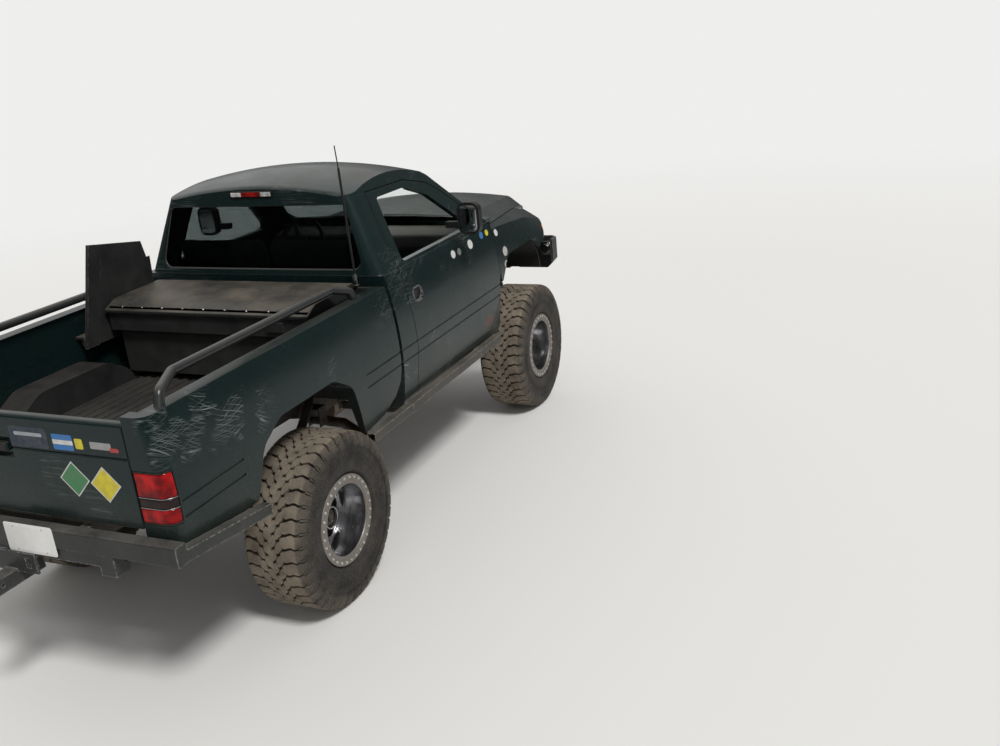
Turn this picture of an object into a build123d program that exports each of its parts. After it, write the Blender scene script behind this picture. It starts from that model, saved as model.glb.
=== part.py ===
from build123d import *
import math
import os

os.makedirs("parts", exist_ok=True)

# Frame: X points forward, Y to the left, Z up, in millimetres. The origin is on the ground, under the
# middle of the truck's length. Stations along the truck are written from the rear axle, as at(x).
WHEELBASE = 3016
REAR_AXLE_X = -1275
TYRE_R = 490
TRACK_Y = 900
RAIL_Z = 1550


def at(from_rear_axle):
    """The X of a station that is given from the rear axle."""
    return REAR_AXLE_X + from_rear_axle


FRONT_AXLE_X = at(WHEELBASE)

# Body side: one arc in the cross-section, shared by the bed, the doors, the cab and the fenders.
BELT_Z, BELT_Y = 1605, 918
WIDEST_Z, WIDEST_Y = 1180, 980
SKIRT_Z, SKIRT_Y = 810, 950
ROCKER_Z, ROCKER_Y = 760, 925
GROOVE_HEIGHTS = (1140, 1062)
GROOVE_WIDTH, GROOVE_DEPTH = 14, 6

# Cab
CAB_BACK, CAB_FRONT = 960, 2540
COWL_FRONT, COWL_Y = 2690, 866
FLOOR_Z = 930
LOWER_WALL, UPPER_WALL = 62, 42
ROOF_Z, ROOF_RADIUS = 2203, 3400
GREENHOUSE_TOP_Z = 2230
DOOR_SKIN, DOOR_GAP = 22, 6
DOOR_FLANGE, DOOR_INNER_GAP = 34, 27

# Bed
BED_BACK, BED_FRONT = -1150, 930
BED_FLOOR_Z, BED_FLOOR_THICKNESS = 1060, 30
BED_INNER_Y, BED_CORNER_R = 845, 64
TAILGATE_HALF_WIDTH = 795
TAILGATE_BOTTOM_Z, TAILGATE_TOP_Z = 1012, 1515
TAILGATE_THICKNESS = 55

# Chassis
RAIL_IN_Y, RAIL_OUT_Y = 395, 455
COIL_LOW_Z, COIL_TOP_Z = 548, 812
KINGPIN_Y = 700
STEER_ARM = 150
STEER_ARM_Z = (616, 640)
TIE_ROD_Z, DRAG_LINK_Z = 597, 660
PITMAN_Y, PITMAN_Z = 330, (700, 722)


def block(x, y, z, mode=Mode.ADD):
    """A box from its lowest and highest X, Y and Z."""
    with Locations(((x[0] + x[1]) / 2, (y[0] + y[1]) / 2, (z[0] + z[1]) / 2)):
        Box(x[1] - x[0], y[1] - y[0], z[1] - z[0], mode=mode)


def rod(start, end, radius, mode=Mode.ADD):
    """A round bar from one point to another."""
    along = Vector(*end) - Vector(*start)
    with Locations(Plane(origin=start, z_dir=along)):
        Cylinder(radius, along.length, align=(Align.CENTER, Align.CENTER, Align.MIN), mode=mode)


def side_prism(points, y, mode=Mode.ADD, rounding=0):
    """A side-view outline of (x, z) points, extruded from the lower to the higher y."""
    with BuildSketch(Plane.XZ.offset(-y[1])) as outline:
        Polygon(*points, align=None)
        if rounding:
            fillet(outline.vertices(), rounding)
    extrude(outline.sketch, amount=y[1] - y[0], mode=mode)


def end_prism(points, x, mode=Mode.ADD, rounding=0):
    """An end-view outline of (y, z) points, extruded from the lower to the higher x."""
    with BuildSketch(Plane.YZ.offset(x[0])) as outline:
        Polygon(*points, align=None)
        if rounding:
            fillet(outline.vertices(), rounding)
    extrude(outline.sketch, amount=x[1] - x[0], mode=mode)


def plan_prism(points, z, mode=Mode.ADD, rounding=0):
    """A plan outline of (x, y) points, extruded from the lower to the higher z."""
    with BuildSketch(Plane.XY.offset(z[0])) as outline:
        Polygon(*points, align=None)
        if rounding:
            fillet(outline.vertices(), rounding)
    extrude(outline.sketch, amount=z[1] - z[0], mode=mode)


def side_y(z):
    """The body side's half width at a height, on the arc through belt, widest line and skirt."""
    low, mid, high = (SKIRT_Y, SKIRT_Z), (WIDEST_Y, WIDEST_Z), (BELT_Y, BELT_Z)
    slope_low = (mid[0] - low[0]) / (mid[1] - low[1])
    slope_high = (high[0] - mid[0]) / (high[1] - mid[1])
    curve = (slope_high - slope_low) / (high[1] - low[1])
    return low[0] + slope_low * (z - low[1]) + curve * (z - low[1]) * (z - mid[1])


def finish(part, label):
    """Label a finished piece and write its file."""
    part.label = label
    export_step(part, f"parts/{label}.step")


def grooves(x, sign):
    """The two shallow lines pressed along the body side between two stations."""
    for height in GROOVE_HEIGHTS:
        depth_y = side_y(height) - GROOVE_DEPTH
        across = (depth_y, depth_y + 40) if sign > 0 else (-depth_y - 40, -depth_y)
        block(x, across, (height - GROOVE_WIDTH / 2, height + GROOVE_WIDTH / 2), Mode.SUBTRACT)


def arch_points(middle, low_half, shoulder_half, top_half, shoulder_z, top_z):
    """A wheel arch's outline in side view: straight flanks, sloped shoulders, flat top."""
    return [(at(middle - low_half), 600), (at(middle - shoulder_half), shoulder_z),
            (at(middle - top_half), top_z), (at(middle + top_half), top_z),
            (at(middle + shoulder_half), shoulder_z), (at(middle + low_half), 600)]


def arch_cut(points, y, mode=Mode.SUBTRACT, grow=0):
    """A wheel arch's opening with its four upper corners rounded, as a cut or a solid."""
    with BuildSketch(Plane.XZ.offset(-y[1])) as outline:
        Polygon(*points, align=None)
        fillet(outline.vertices().group_by(Axis.Y)[-1] + outline.vertices().group_by(Axis.Y)[-2], 130)
        if grow:
            offset(amount=grow, kind=Kind.INTERSECTION)
    extrude(outline.sketch, amount=y[1] - y[0], mode=mode)


REAR_ARCH = arch_points(-60, 600, 420, 250, 1130, 1224)
FRONT_ARCH = arch_points(WHEELBASE, 560, 470, 290, 1120, 1312)


# Cab forms

def greenhouse(inset):
    """The cab above the belt before its roof: walls lean in, glass planes bow outward."""
    with BuildPart() as form:
        # Columns: height, half width, back station, front station, bow of the front at the corners
        for z, half, back, front, bow in ((BELT_Z, 905, 962, 2645, 112), (GREENHOUSE_TOP_Z, 637, 1052, 1850, 56)):
            y = half - inset
            x_back, x_front = at(back + inset), at(front - inset)
            with BuildSketch(Plane.XY.offset(z)):
                with BuildLine():
                    rear = ThreePointArc((x_back + 14, -y), (x_back, 0), (x_back + 14, y))
                    nose = ThreePointArc((x_front - bow, y), (x_front, 0), (x_front - bow, -y))
                    Line(rear @ 1, nose @ 0)
                    Line(nose @ 1, rear @ 0)
                section = make_face()
                fillet(section.vertices().group_by(Axis.X)[0], 100 - inset)
                fillet(section.vertices().sort_by(Axis.X)[-2:], 60)
        loft(ruled=True)
    return form.part


def roof_cap(inset):
    """A barrel whose top is the roof: its side-view outline turned about a line far below."""
    axis_z = ROOF_Z - ROOF_RADIUS
    top = ROOF_Z - inset
    with BuildPart() as cap:
        with BuildSketch(Plane.XZ) as outline:
            with BuildLine():
                crown = ThreePointArc((at(1026 + inset), top - 66), (at(1480), top), (at(1960), top - 57))
                Polyline(crown @ 1, (at(2130), top - 137), (at(2950), top - 620), (at(2950), 1480),
                         (at(880 + inset), 1480), crown @ 0)
            make_face()
            fillet(outline.vertices().sort_by_distance((at(1026 + inset), top - 66))[0], 80)
        revolve(axis=Axis((0, 0, axis_z), (1, 0, 0)), revolution_arc=24)
        revolve(outline.sketch, axis=Axis((0, 0, axis_z), (1, 0, 0)), revolution_arc=-24)
    return cap.part


def cab_form(lower_inset, upper_inset):
    """The cab's closed form, drawn in from its skin by one depth below the belt and one above."""
    house, cap = greenhouse(upper_inset), roof_cap(upper_inset)
    with BuildPart() as upper:
        add(house)
        add(cap, mode=Mode.INTERSECT)
    toe = lower_inset
    with BuildPart() as form:
        with BuildSketch(Plane.YZ.offset(at(CAB_BACK + lower_inset))) as section:
            with BuildLine():
                skin = ThreePointArc((BELT_Y - toe, BELT_Z), (WIDEST_Y - toe, WIDEST_Z), (SKIRT_Y - toe, SKIRT_Z))
                Polyline(skin @ 1, (ROCKER_Y - toe, ROCKER_Z + toe), (640 + toe, ROCKER_Z + toe),
                         (600 + toe, FLOOR_Z + toe), (0, FLOOR_Z + toe), (0, BELT_Z), skin @ 0)
            make_face()
            mirror(about=Plane.YZ)
        extrude(amount=CAB_FRONT - CAB_BACK - 2 * lower_inset)
        block((at(CAB_FRONT - 300), at(COWL_FRONT - lower_inset)), (-COWL_Y + toe, COWL_Y - toe),
              (1300 + toe, BELT_Z))
        side_prism([(at(2620 - toe), 1300 + toe), (at(2512 - toe), 1180), (at(2486 - toe), 1000), (at(2486 - toe), 700),
                    (at(2800), 700), (at(2800), 1300 + toe)], (-1000, 1000), Mode.SUBTRACT)
        add(upper.part)
    return form.part


DOOR_OUTLINE = [(at(x), z) for x, z in (
    (1130, 830), (1156, 1060), (1158, 1230), (1140, 1460), (1146, 1605), (1214, 2070), (1700, 2062), (1960, 2000),
    (2080, 1930), (2440, 1655), (2530, 1590), (2530, 1174), (2475, 1000), (2320, 830))]
SIDE_WINDOW = [(at(x), z) for x, z in (
    (1245, 1625), (1305, 2015), (1660, 2015), (1900, 1925), (2280, 1625))]
DOOR_LOWER_IN_Y, DOOR_UPPER_IN_Y, DOOR_OUT_Y = 822, 560, 1100

outer_form = cab_form(0, 0)
inner_form = cab_form(LOWER_WALL, UPPER_WALL)
skin_form = cab_form(DOOR_SKIN, DOOR_SKIN)
flange_form = cab_form(DOOR_FLANGE, DOOR_FLANGE)


def door_prism(shrink):
    """The door's side-view outline drawn in by an amount and extruded through the left wall alone."""
    with BuildPart() as prism:
        with BuildSketch(Plane.XZ.offset(-DOOR_OUT_Y)) as outline:
            Polygon(*DOOR_OUTLINE, align=None)
            if shrink:
                offset(amount=-shrink, kind=Kind.INTERSECTION)
        extrude(amount=DOOR_OUT_Y - DOOR_UPPER_IN_Y)
        block((at(1000), at(2700)), (500, DOOR_LOWER_IN_Y), (700, BELT_Z), Mode.SUBTRACT)
    return prism.part


# Cab: floor, back, roof, pillars, sills and toe board, with the door and glass openings cut.
WINDSCREEN_OUTLINE = [(-786, 1650), (-590, 2075), (590, 2075), (786, 1650)]
REAR_WINDOW_OUTLINE = [(-775, 1634), (-665, 2030), (665, 2030), (775, 1634)]
GLASS_CORNER = 60
SEAT_BASE_TOP = 1080
with BuildPart() as flange_ring:
    add(door_prism(0))
    add(flange_form, mode=Mode.SUBTRACT)
with BuildPart() as door_openings:
    add(flange_ring.part)
    add(door_prism(DOOR_FLANGE))
    mirror(about=Plane.XZ)
with BuildPart() as cab_shell:
    add(outer_form)
    add(inner_form, mode=Mode.SUBTRACT)
    add(door_openings.part, mode=Mode.SUBTRACT)
    end_prism(WINDSCREEN_OUTLINE, (at(1750), at(2800)), Mode.SUBTRACT, GLASS_CORNER)
    end_prism(REAR_WINDOW_OUTLINE, (at(800), at(1200)), Mode.SUBTRACT, GLASS_CORNER)
    block((at(980), at(1050)), (-158, 158), (2078, 2122), Mode.SUBTRACT)
    for sign in (-1, 1):
        grooves((at(CAB_BACK - 10), at(1200)), sign)

# The cab is welded from four pressings that meet edge to edge: floor pan, back, front and roof.
floor_seam = Plane.XY.offset(FLOOR_Z + LOWER_WALL + 1)
roof_seam = Plane.XY.offset(2024)
above_floor = cab_shell.part.split(floor_seam, keep=Keep.TOP)
with BuildPart() as cab_floor:
    add(cab_shell.part.split(floor_seam, keep=Keep.BOTTOM))
    block((at(CAB_BACK + LOWER_WALL), at(1740)), (-560, 560), (FLOOR_Z + LOWER_WALL, SEAT_BASE_TOP))
finish(cab_floor.part, "cab_floor")
finish(above_floor.split(roof_seam, keep=Keep.TOP), "cab_roof")
cab_walls = ShapeList(above_floor.split(roof_seam, keep=Keep.BOTTOM)).sort_by(Axis.X)
finish(cab_walls[0], "cab_back")
finish(cab_walls[-1], "cab_front")


# Doors: an outer skin that laps the opening and a thicker inner half, with the window cut. The two
# forms inside them are also cut from a place further forward, so that no return is left at the front.
skin_form_ahead = Pos(60, 0, 0) * skin_form
inner_form_ahead = Pos(100, 0, 0) * inner_form


def make_door(sign):
    """One door for the left side, or mirrored for the right."""
    skin_prism = door_prism(DOOR_GAP)
    core_prism = door_prism(DOOR_FLANGE + DOOR_INNER_GAP)
    with BuildPart() as skin:
        add(outer_form)
        add(skin_form, mode=Mode.SUBTRACT)
        add(skin_form_ahead, mode=Mode.SUBTRACT)
        add(skin_prism, mode=Mode.INTERSECT)
    with BuildPart() as core:
        add(skin_form)
        add(inner_form, mode=Mode.SUBTRACT)
        add(inner_form_ahead, mode=Mode.SUBTRACT)
        add(core_prism, mode=Mode.INTERSECT)
    with BuildPart() as door:
        add(skin.part)
        add(core.part)
        side_prism(SIDE_WINDOW, (100, 1100), Mode.SUBTRACT, 30)
        grooves((at(1000), at(2700)), 1)
        block((at(1225), at(1330)), (925, 1000), (1372, 1452), Mode.SUBTRACT)
        block((at(1232), at(1323)), (900, 944), (1378, 1446))
    if sign < 0:
        return mirror(door.part, about=Plane.XZ)
    return door.part


door_left = make_door(1)
door_right = make_door(-1)
finish(door_left, "door_left")
finish(door_right, "door_right")


# Glass: panes between two depths of the greenhouse, each cut to its window.
def pane(inset, thickness, cutter):
    """A pane that follows the greenhouse's wall at one depth."""
    outer, inner = greenhouse(inset), greenhouse(inset + thickness)
    with BuildPart() as glass:
        add(outer)
        add(inner, mode=Mode.SUBTRACT)
        add(cutter, mode=Mode.INTERSECT)
    return glass.part


GLASS_GAP = 1


def end_cutter(points, x):
    """A window's end-view outline, drawn in by the glass gap, as a part of its own."""
    slope = GLASS_GAP if points[0][1] < points[1][1] else 0
    inner = [(y - math.copysign(GLASS_GAP, y), z + slope if z < 1900 else z - slope) for y, z in points]
    with BuildPart() as cutter:
        end_prism(inner, x, rounding=GLASS_CORNER - GLASS_GAP)
    return cutter.part


windscreen = pane(14, 6, end_cutter(WINDSCREEN_OUTLINE, (at(1750), at(2800))))
finish(windscreen, "windscreen")
rear_window = pane(14, 5, end_cutter(REAR_WINDOW_OUTLINE, (at(800), at(1200))))
finish(rear_window, "rear_window")
with BuildPart() as window_cutter:
    side_prism(SIDE_WINDOW, (100, DOOR_OUT_Y), rounding=31)
left_glass = pane(16, 5, window_cutter.part)
finish(left_glass, "door_glass_left")


# Fenders
HEADER_IN_Y, HEADER_TOP_Z = 566, 1410


def fender_form(inset):
    """The left fender's closed form: lofted sections, cut to the nose in side and plan view."""
    with BuildPart() as form:
        # Columns: station, seam height, seam y, shoulder y and height, widest y, skirt y
        for x, seam_z, seam_y, shoulder_y, shoulder_z, widest_y, skirt_y in (
                (2546, 1562, 874, 918, 1536, 980, 950), (2705, 1560, 874, 916, 1534, 980, 950),
                (3300, 1538, 780, 886, 1478, 980, 950), (3740, 1490, 706, 850, 1375, 962, 936)):
            inner_y = seam_y - 2 * inset
            with BuildSketch(Plane.YZ.offset(at(x))):
                with BuildLine():
                    flank = ThreePointArc((shoulder_y - inset, shoulder_z - inset), (widest_y - inset, WIDEST_Z),
                                          (skirt_y - inset, SKIRT_Z))
                    Polyline(flank @ 1, (inner_y, SKIRT_Z), (inner_y, seam_z - inset), (seam_y + 1, seam_z - inset),
                             flank @ 0)
                make_face()
        loft(ruled=True)
        block((at(3560 - inset), at(3745)), (HEADER_IN_Y - 2 * inset, 800), (1238 - inset, HEADER_TOP_Z - inset))
        nose = [(at(2400), 700), (at(3745 - inset), 700), (at(3745 - inset), 1290), (at(3730 - inset), 1350),
                (at(3690 - inset), 1410), (at(3620), 1480 - inset / 2), (at(3300), 1560), (at(2400), 1640)]
        side_prism(nose, (400, 1100), Mode.INTERSECT)
        plan_prism([(at(2400), 400), (at(3745 - inset), 400), (at(3745 - inset), 790 - inset),
                    (at(3722 - inset), 838 - inset), (at(3676 - inset), 884 - inset), (at(3600 - inset), 930 - inset),
                    (at(3480), 975 - inset), (at(3300), 1005 - inset), (at(2400), 1005 - inset)],
                   (600, 1700), Mode.INTERSECT)
    return form.part


fender_outer, fender_inner = fender_form(0), fender_form(32)
HEADLAMP = ((at(3600), at(3800)), (584, 800), (1276, 1376))
MARKER = ((at(3610), at(3800)), (812, 1000), (1254, 1342))


def make_fender():
    """The left fender: a skin with the wheel arch, lamp openings and body lines cut."""
    with BuildPart() as fender:
        add(fender_outer)
        add(fender_inner, mode=Mode.SUBTRACT)
        arch_cut(FRONT_ARCH, (500, 1100))
        block((at(3400), at(3800)), (500, 1100), (700, 1238), Mode.SUBTRACT)
        for opening in (HEADLAMP, MARKER):
            block(*opening, Mode.SUBTRACT)
        grooves((at(2500), at(2700)), 1)
    return fender.part


with BuildPart() as fenders:
    add(make_fender())
    mirror(about=Plane.XZ)
finish(fenders.part, "fenders")


def lamp_piece(opening, gap, depth_form):
    """A lamp that fills an opening and carries the fender's own curve on its face."""
    low, high = [v[0] + gap for v in opening], [v[1] - gap for v in opening]
    with BuildPart() as lamp:
        add(fender_outer)
        add(depth_form, mode=Mode.SUBTRACT)
        block((low[0], high[0]), (low[1], high[1]), (low[2], high[2]), Mode.INTERSECT)
    return lamp.part


with BuildPart() as front_lamps:
    for opening in (HEADLAMP, MARKER):
        add(lamp_piece(opening, 3, fender_inner))
    mirror(about=Plane.XZ)
finish(front_lamps.part, "front_lamps")

with BuildPart() as inner_fenders:
    arch_cut(FRONT_ARCH, (470, 905), Mode.ADD, 26)
    arch_cut(FRONT_ARCH, (484, 1000), Mode.SUBTRACT, 12)
    block((at(2300), at(3800)), (400, 1000), (500, 1010), Mode.SUBTRACT)
    block((at(2300), at(2560)), (400, 1000), (500, 1500), Mode.SUBTRACT)
    block((at(2300), at(COWL_FRONT + 4)), (400, 1000), (1296, 1500), Mode.SUBTRACT)
    mirror(about=Plane.XZ)
finish(inner_fenders.part, "inner_fenders")

# Hood: a raised crown with sloped flanks, a skin of one thickness, hinged at its rear edge.
HOOD_SKIN = 30
with BuildPart() as hood:
    # Columns: station, seam half width, seam height, flank half width, flank height, crown height
    for x, seam_y, seam_z, flank_y, flank_z, crown_z in (
            (2706, 864, 1562, 650, 1602, 1636), (3300, 774, 1542, 628, 1600, 1640), (3640, 716, 1512, 616, 1590, 1630),
            (3720, 702, 1488, 604, 1566, 1600), (3752, 698, 1478, 596, 1532, 1562)):
        with BuildSketch(Plane.YZ.offset(at(x))):
            with BuildLine():
                top = ThreePointArc((-flank_y, flank_z), (0, crown_z), (flank_y, flank_z))
                under = ThreePointArc((-flank_y, flank_z - HOOD_SKIN), (0, crown_z - HOOD_SKIN),
                                      (flank_y, flank_z - HOOD_SKIN))
                Polyline(top @ 0, (-seam_y, seam_z), (-seam_y, seam_z - HOOD_SKIN), under @ 0)
                Polyline(top @ 1, (seam_y, seam_z), (seam_y, seam_z - HOOD_SKIN), under @ 1)
            make_face()
    loft(ruled=True)
    # The rear corners are thinner, so that they clear the fenders as the hood swings up.
    for corner_y in ((840, 880), (-880, -840)):
        block((at(2700), at(2800)), corner_y, (1500, 1546), Mode.SUBTRACT)
finish(hood.part, "hood")

# Grille: a frame with upright and level bars, carried by the hood.
GRILLE_Y, GRILLE_LOW_Z, GRILLE_TOP_Z = 560, 1246, 1478
with BuildPart() as grille:
    block((at(3700), at(3748)), (-GRILLE_Y, GRILLE_Y), (GRILLE_LOW_Z, GRILLE_TOP_Z))
    block((at(3690), at(3760)), (-GRILLE_Y + 30, GRILLE_Y - 30), (GRILLE_LOW_Z + 30, GRILLE_TOP_Z - 34), Mode.SUBTRACT)
    for level in (1310, 1356, 1402):
        block((at(3712), at(3738)), (-GRILLE_Y + 20, GRILLE_Y - 20), (level - 7, level + 7))
    for side in (-360, -180, 0, 180, 360):
        block((at(3706), at(3744)), (side - 9, side + 9), (GRILLE_LOW_Z + 20, GRILLE_TOP_Z - 20))
finish(grille.part, "grille")

with BuildPart() as radiator:
    block((at(3560), at(3620)), (-440, 440), (1010, 1440))
    block((at(3545), at(3560)), (-450, 450), (965, 1010))
    block((at(3545), at(3560)), (-450, 450), (1440, 1462))
    for side in (-1, 1):
        rod((at(3545), side * 200, 1200), (at(3520), side * 200, 1200), 130)
finish(radiator.part, "radiator")


# Bed
def bedside_form(sign):
    """The closed wall of one bed side, without arch or lamp opening, rounded at its rear corner."""
    with BuildPart() as form:
        with BuildSketch(Plane.YZ.offset(at(BED_BACK))):
            with BuildLine():
                skin = ThreePointArc((side_y(RAIL_Z), RAIL_Z), (WIDEST_Y, WIDEST_Z), (SKIRT_Y, SKIRT_Z - 14))
                Polyline(skin @ 1, (BED_INNER_Y, SKIRT_Z - 14), (BED_INNER_Y, RAIL_Z), skin @ 0)
            make_face()
        extrude(amount=BED_FRONT - BED_BACK)
        fillet(form.edges().group_by(Axis.X)[0].sort_by(Axis.Y)[-1], BED_CORNER_R)
        block((at(BED_BACK), at(BED_BACK + 62)), (TAILGATE_HALF_WIDTH + 8, 860), (905, RAIL_Z))
        block((at(BED_BACK + 70), at(BED_FRONT)), (800, 916), (700, BED_FLOOR_Z - 30), Mode.SUBTRACT)
        block((at(BED_BACK), at(BED_BACK + 70)), (800, 880), (700, 905), Mode.SUBTRACT)
        side_prism([(at(BED_BACK), 905), (at(-560), 880), (at(-560), 700), (at(BED_BACK), 700)], (700, 1100),
                   Mode.SUBTRACT)
        side_prism([(at(BED_FRONT), 1060), (at(905), 960), (at(840), 885), (at(700), 822), (at(540), 800),
                    (at(540), 700), (at(BED_FRONT), 700)], (700, 1100), Mode.SUBTRACT)
    return form.part


TAIL_LAMP = ((at(BED_BACK - 20), at(BED_BACK + 58)), (TAILGATE_HALF_WIDTH, 1010), (1040, 1300))
bedside_solid = bedside_form(1)
with BuildPart() as bedside:
    add(bedside_solid)
    arch_cut(REAR_ARCH, (700, 1100))
    block(*TAIL_LAMP, Mode.SUBTRACT)
    grooves((at(520), at(BED_FRONT)), 1)
    grooves((at(BED_BACK + 70), at(-640)), 1)
    mirror(about=Plane.XZ)
finish(bedside.part, "bedsides")

with BuildPart() as rear_lamps:
    add(bedside_solid)
    block((at(BED_BACK - 20), at(BED_BACK + 56)), (TAILGATE_HALF_WIDTH + 10, 1010), (1043, 1297), Mode.INTERSECT)
    mirror(about=Plane.XZ)
    block((at(1024), at(1048)), (-155, 155), (2081, 2119))
finish(rear_lamps.part, "rear_lamps")

with BuildPart() as bed_box:
    block((at(-1068), at(925)), (-BED_INNER_Y, BED_INNER_Y), (BED_FLOOR_Z - BED_FLOOR_THICKNESS, BED_FLOOR_Z))
    block((at(898), at(925)), (-BED_INNER_Y, BED_INNER_Y), (BED_FLOOR_Z, RAIL_Z))
    for rib in range(-9, 10):
        block((at(-1060), at(898)), (rib * 72 - 16, rib * 72 + 16), (BED_FLOOR_Z, BED_FLOOR_Z + 9))
    arch_cut(REAR_ARCH, (640, BED_INNER_Y), Mode.ADD, 24)
    arch_cut(REAR_ARCH, (-BED_INNER_Y, -640), Mode.ADD, 24)
    block((at(-800), at(800)), (-1000, 1000), (500, BED_FLOOR_Z - BED_FLOOR_THICKNESS), Mode.SUBTRACT)
    arch_cut(REAR_ARCH, (664, 1000))
    arch_cut(REAR_ARCH, (-1000, -664))
finish(bed_box.part, "bed_box")

with BuildPart() as tailgate:
    gate_x = (at(BED_BACK), at(BED_BACK + TAILGATE_THICKNESS))
    block(gate_x, (-TAILGATE_HALF_WIDTH, TAILGATE_HALF_WIDTH), (TAILGATE_BOTTOM_Z, TAILGATE_TOP_Z))
    upper_edges = tailgate.edges().filter_by(Axis.Y).group_by(Axis.Z)[-1]
    fillet(upper_edges, 20)
    block((at(BED_BACK - 2), at(BED_BACK + 8)), (-TAILGATE_HALF_WIDTH, TAILGATE_HALF_WIDTH), (1344, 1352), Mode.SUBTRACT)
    block((at(BED_BACK + 47), at(BED_BACK + 60)), (-720, 720), (1080, 1440), Mode.SUBTRACT)
    block((at(BED_BACK - 2), at(BED_BACK + 24)), (-105, 105), (1300, 1396), Mode.SUBTRACT)
    block((at(BED_BACK - 8), at(BED_BACK + 26)), (-88, 88), (1330, 1372))
finish(tailgate.part, "tailgate")

# Bed equipment
TUBE_R = 24
with BuildPart() as bed_tube_rails:
    for sign in (-1, 1):
        with BuildLine() as route:
            FilletPolyline((at(-1010), sign * 894, RAIL_Z - 20), (at(-975), sign * 880, 1606),
                           (at(-800), sign * 806, 1632), (at(560), sign * 802, 1628),
                           (at(650), sign * 864, 1600), (at(668), sign * 880, RAIL_Z - 20), radius=34)
        with BuildSketch(Plane(origin=route.line @ 0, z_dir=route.line % 0)) as ring:
            Circle(TUBE_R)
        sweep(ring.sketch, path=route.line)
    block((at(-1200), at(900)), (-1000, 1000), (1400, RAIL_Z), Mode.SUBTRACT)
finish(bed_tube_rails.part, "bed_tube_rails")

with BuildPart() as tool_box:
    block((at(392), at(880)), (-736, 736), (1390, 1500))
    block((at(430), at(880)), (-700, 700), (1110, 1390))
    block((at(402), at(870)), (-726, 726), (1400, 1510), Mode.SUBTRACT)
    block((at(440), at(870)), (-690, 690), (1120, 1410), Mode.SUBTRACT)
    block((at(380), at(400)), (-560, -440), (1420, 1480))
finish(tool_box.part, "tool_box")

with BuildPart() as tool_box_lid:
    side_prism([(at(372), 1507), (at(372), 1524), (at(470), 1572), (at(884), 1582), (at(884), 1507)], (-744, 744))
    block((at(392), at(866)), (-730, 730), (1500, 1540), Mode.SUBTRACT)
finish(tool_box_lid.part, "tool_box_lid")

PANEL_IN_Y, PANEL_OUT_Y = 764, 775
with BuildPart() as upright_panel:
    side_prism([(at(187), 1330), (at(374), 1930), (at(815), 1855), (at(838), 1745), (at(868), 1745), (at(846), 1330)],
               (PANEL_IN_Y, PANEL_OUT_Y))
    side_prism([(at(187), 1330), (at(374), 1930), (at(470), 1914), (at(290), 1330)], (752, PANEL_IN_Y))
    block((at(200), at(300)), (PANEL_OUT_Y, 797), (1345, 1400))
    block((at(200), at(300)), (797, BED_INNER_Y), (1385, 1400))
    block((at(700), at(800)), (PANEL_OUT_Y, BED_INNER_Y), (1385, 1400))
finish(upright_panel.part, "upright_panel")

with BuildPart() as antenna:
    rod((at(911), -748, RAIL_Z), (at(911), -748, RAIL_Z + 14), 19)
    rod((at(911), -748, RAIL_Z + 14), (at(911), -748, RAIL_Z + 74), 13)
    rod((at(911), -748, RAIL_Z + 74), (at(905), -742, 2262), 7)
    rod((at(905), -742, 2262), (at(902), -738, 2392), 3.5)
finish(antenna.part, "antenna")

# Rear bumper, hitch and plate
BUMPER_BACK, BUMPER_LOW_Z, BUMPER_TOP_Z = -1232, 892, 990
CROSS_TUBE_Z = 834
RECEIVER_Z, RECEIVER_BACK, RECEIVER_FRONT = 718, -1400, -1090
RECEIVER_OUTER, RECEIVER_BORE, HITCH_PIN_R = 76, 52, 8.2
with BuildPart() as rear_bumper:
    block((at(BUMPER_BACK), at(-1160)), (-1030, 1030), (BUMPER_LOW_Z, BUMPER_TOP_Z))
    fillet(rear_bumper.edges().filter_by(Axis.Y), 10)
    for sign in (-1, 1):
        arm_y = (975, 1030) if sign > 0 else (-1030, -975)
        side_prism([(at(-1170), 894), (at(-1170), 952), (at(-562), 872), (at(-562), 814)], arm_y)
        mount_y = (400, 452) if sign > 0 else (-452, -400)
        side_prism([(at(-1165), 895), (at(-1165), 975), (at(-1122), 975), (at(-1122), 895)], mount_y)
    # The hitch is welded under the bumper: a cross tube, end gussets, a square receiver and a chain plate.
    block((at(-1226), at(-1162)), (-650, 650), (CROSS_TUBE_Z, BUMPER_LOW_Z))
    for sign in (-1, 1):
        gusset_y = (560, 650) if sign > 0 else (-650, -560)
        side_prism([(at(-1226), 788), (at(-1226), CROSS_TUBE_Z), (at(-1100), CROSS_TUBE_Z), (at(-1150), 788)],
                   gusset_y)
    block((at(-1215), at(-1172)), (-60, 60), (RECEIVER_Z + RECEIVER_OUTER / 2 - 4, CROSS_TUBE_Z))
    block((at(RECEIVER_BACK), at(RECEIVER_FRONT)), (-RECEIVER_OUTER / 2, RECEIVER_OUTER / 2),
          (RECEIVER_Z - RECEIVER_OUTER / 2, RECEIVER_Z + RECEIVER_OUTER / 2))
    block((at(-1240), at(-1226)), (-170, 170), (742, 850))
    for side in (-120, 120):
        block((at(-1250), at(-1220)), (side - 14, side + 14), (770, 820), Mode.SUBTRACT)
    block((at(RECEIVER_BACK - 5), at(RECEIVER_FRONT - 20)), (-RECEIVER_BORE / 2, RECEIVER_BORE / 2),
          (RECEIVER_Z - RECEIVER_BORE / 2, RECEIVER_Z + RECEIVER_BORE / 2), Mode.SUBTRACT)
    rod((at(RECEIVER_BACK + 66), -50, RECEIVER_Z), (at(RECEIVER_BACK + 66), 50, RECEIVER_Z), HITCH_PIN_R, Mode.SUBTRACT)
finish(rear_bumper.part, "rear_bumper")

with BuildPart() as licence_plate:
    block((at(BUMPER_BACK - 3), at(BUMPER_BACK)), (-322, -18), (851, 1003))
finish(licence_plate.part, "licence_plate")

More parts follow.
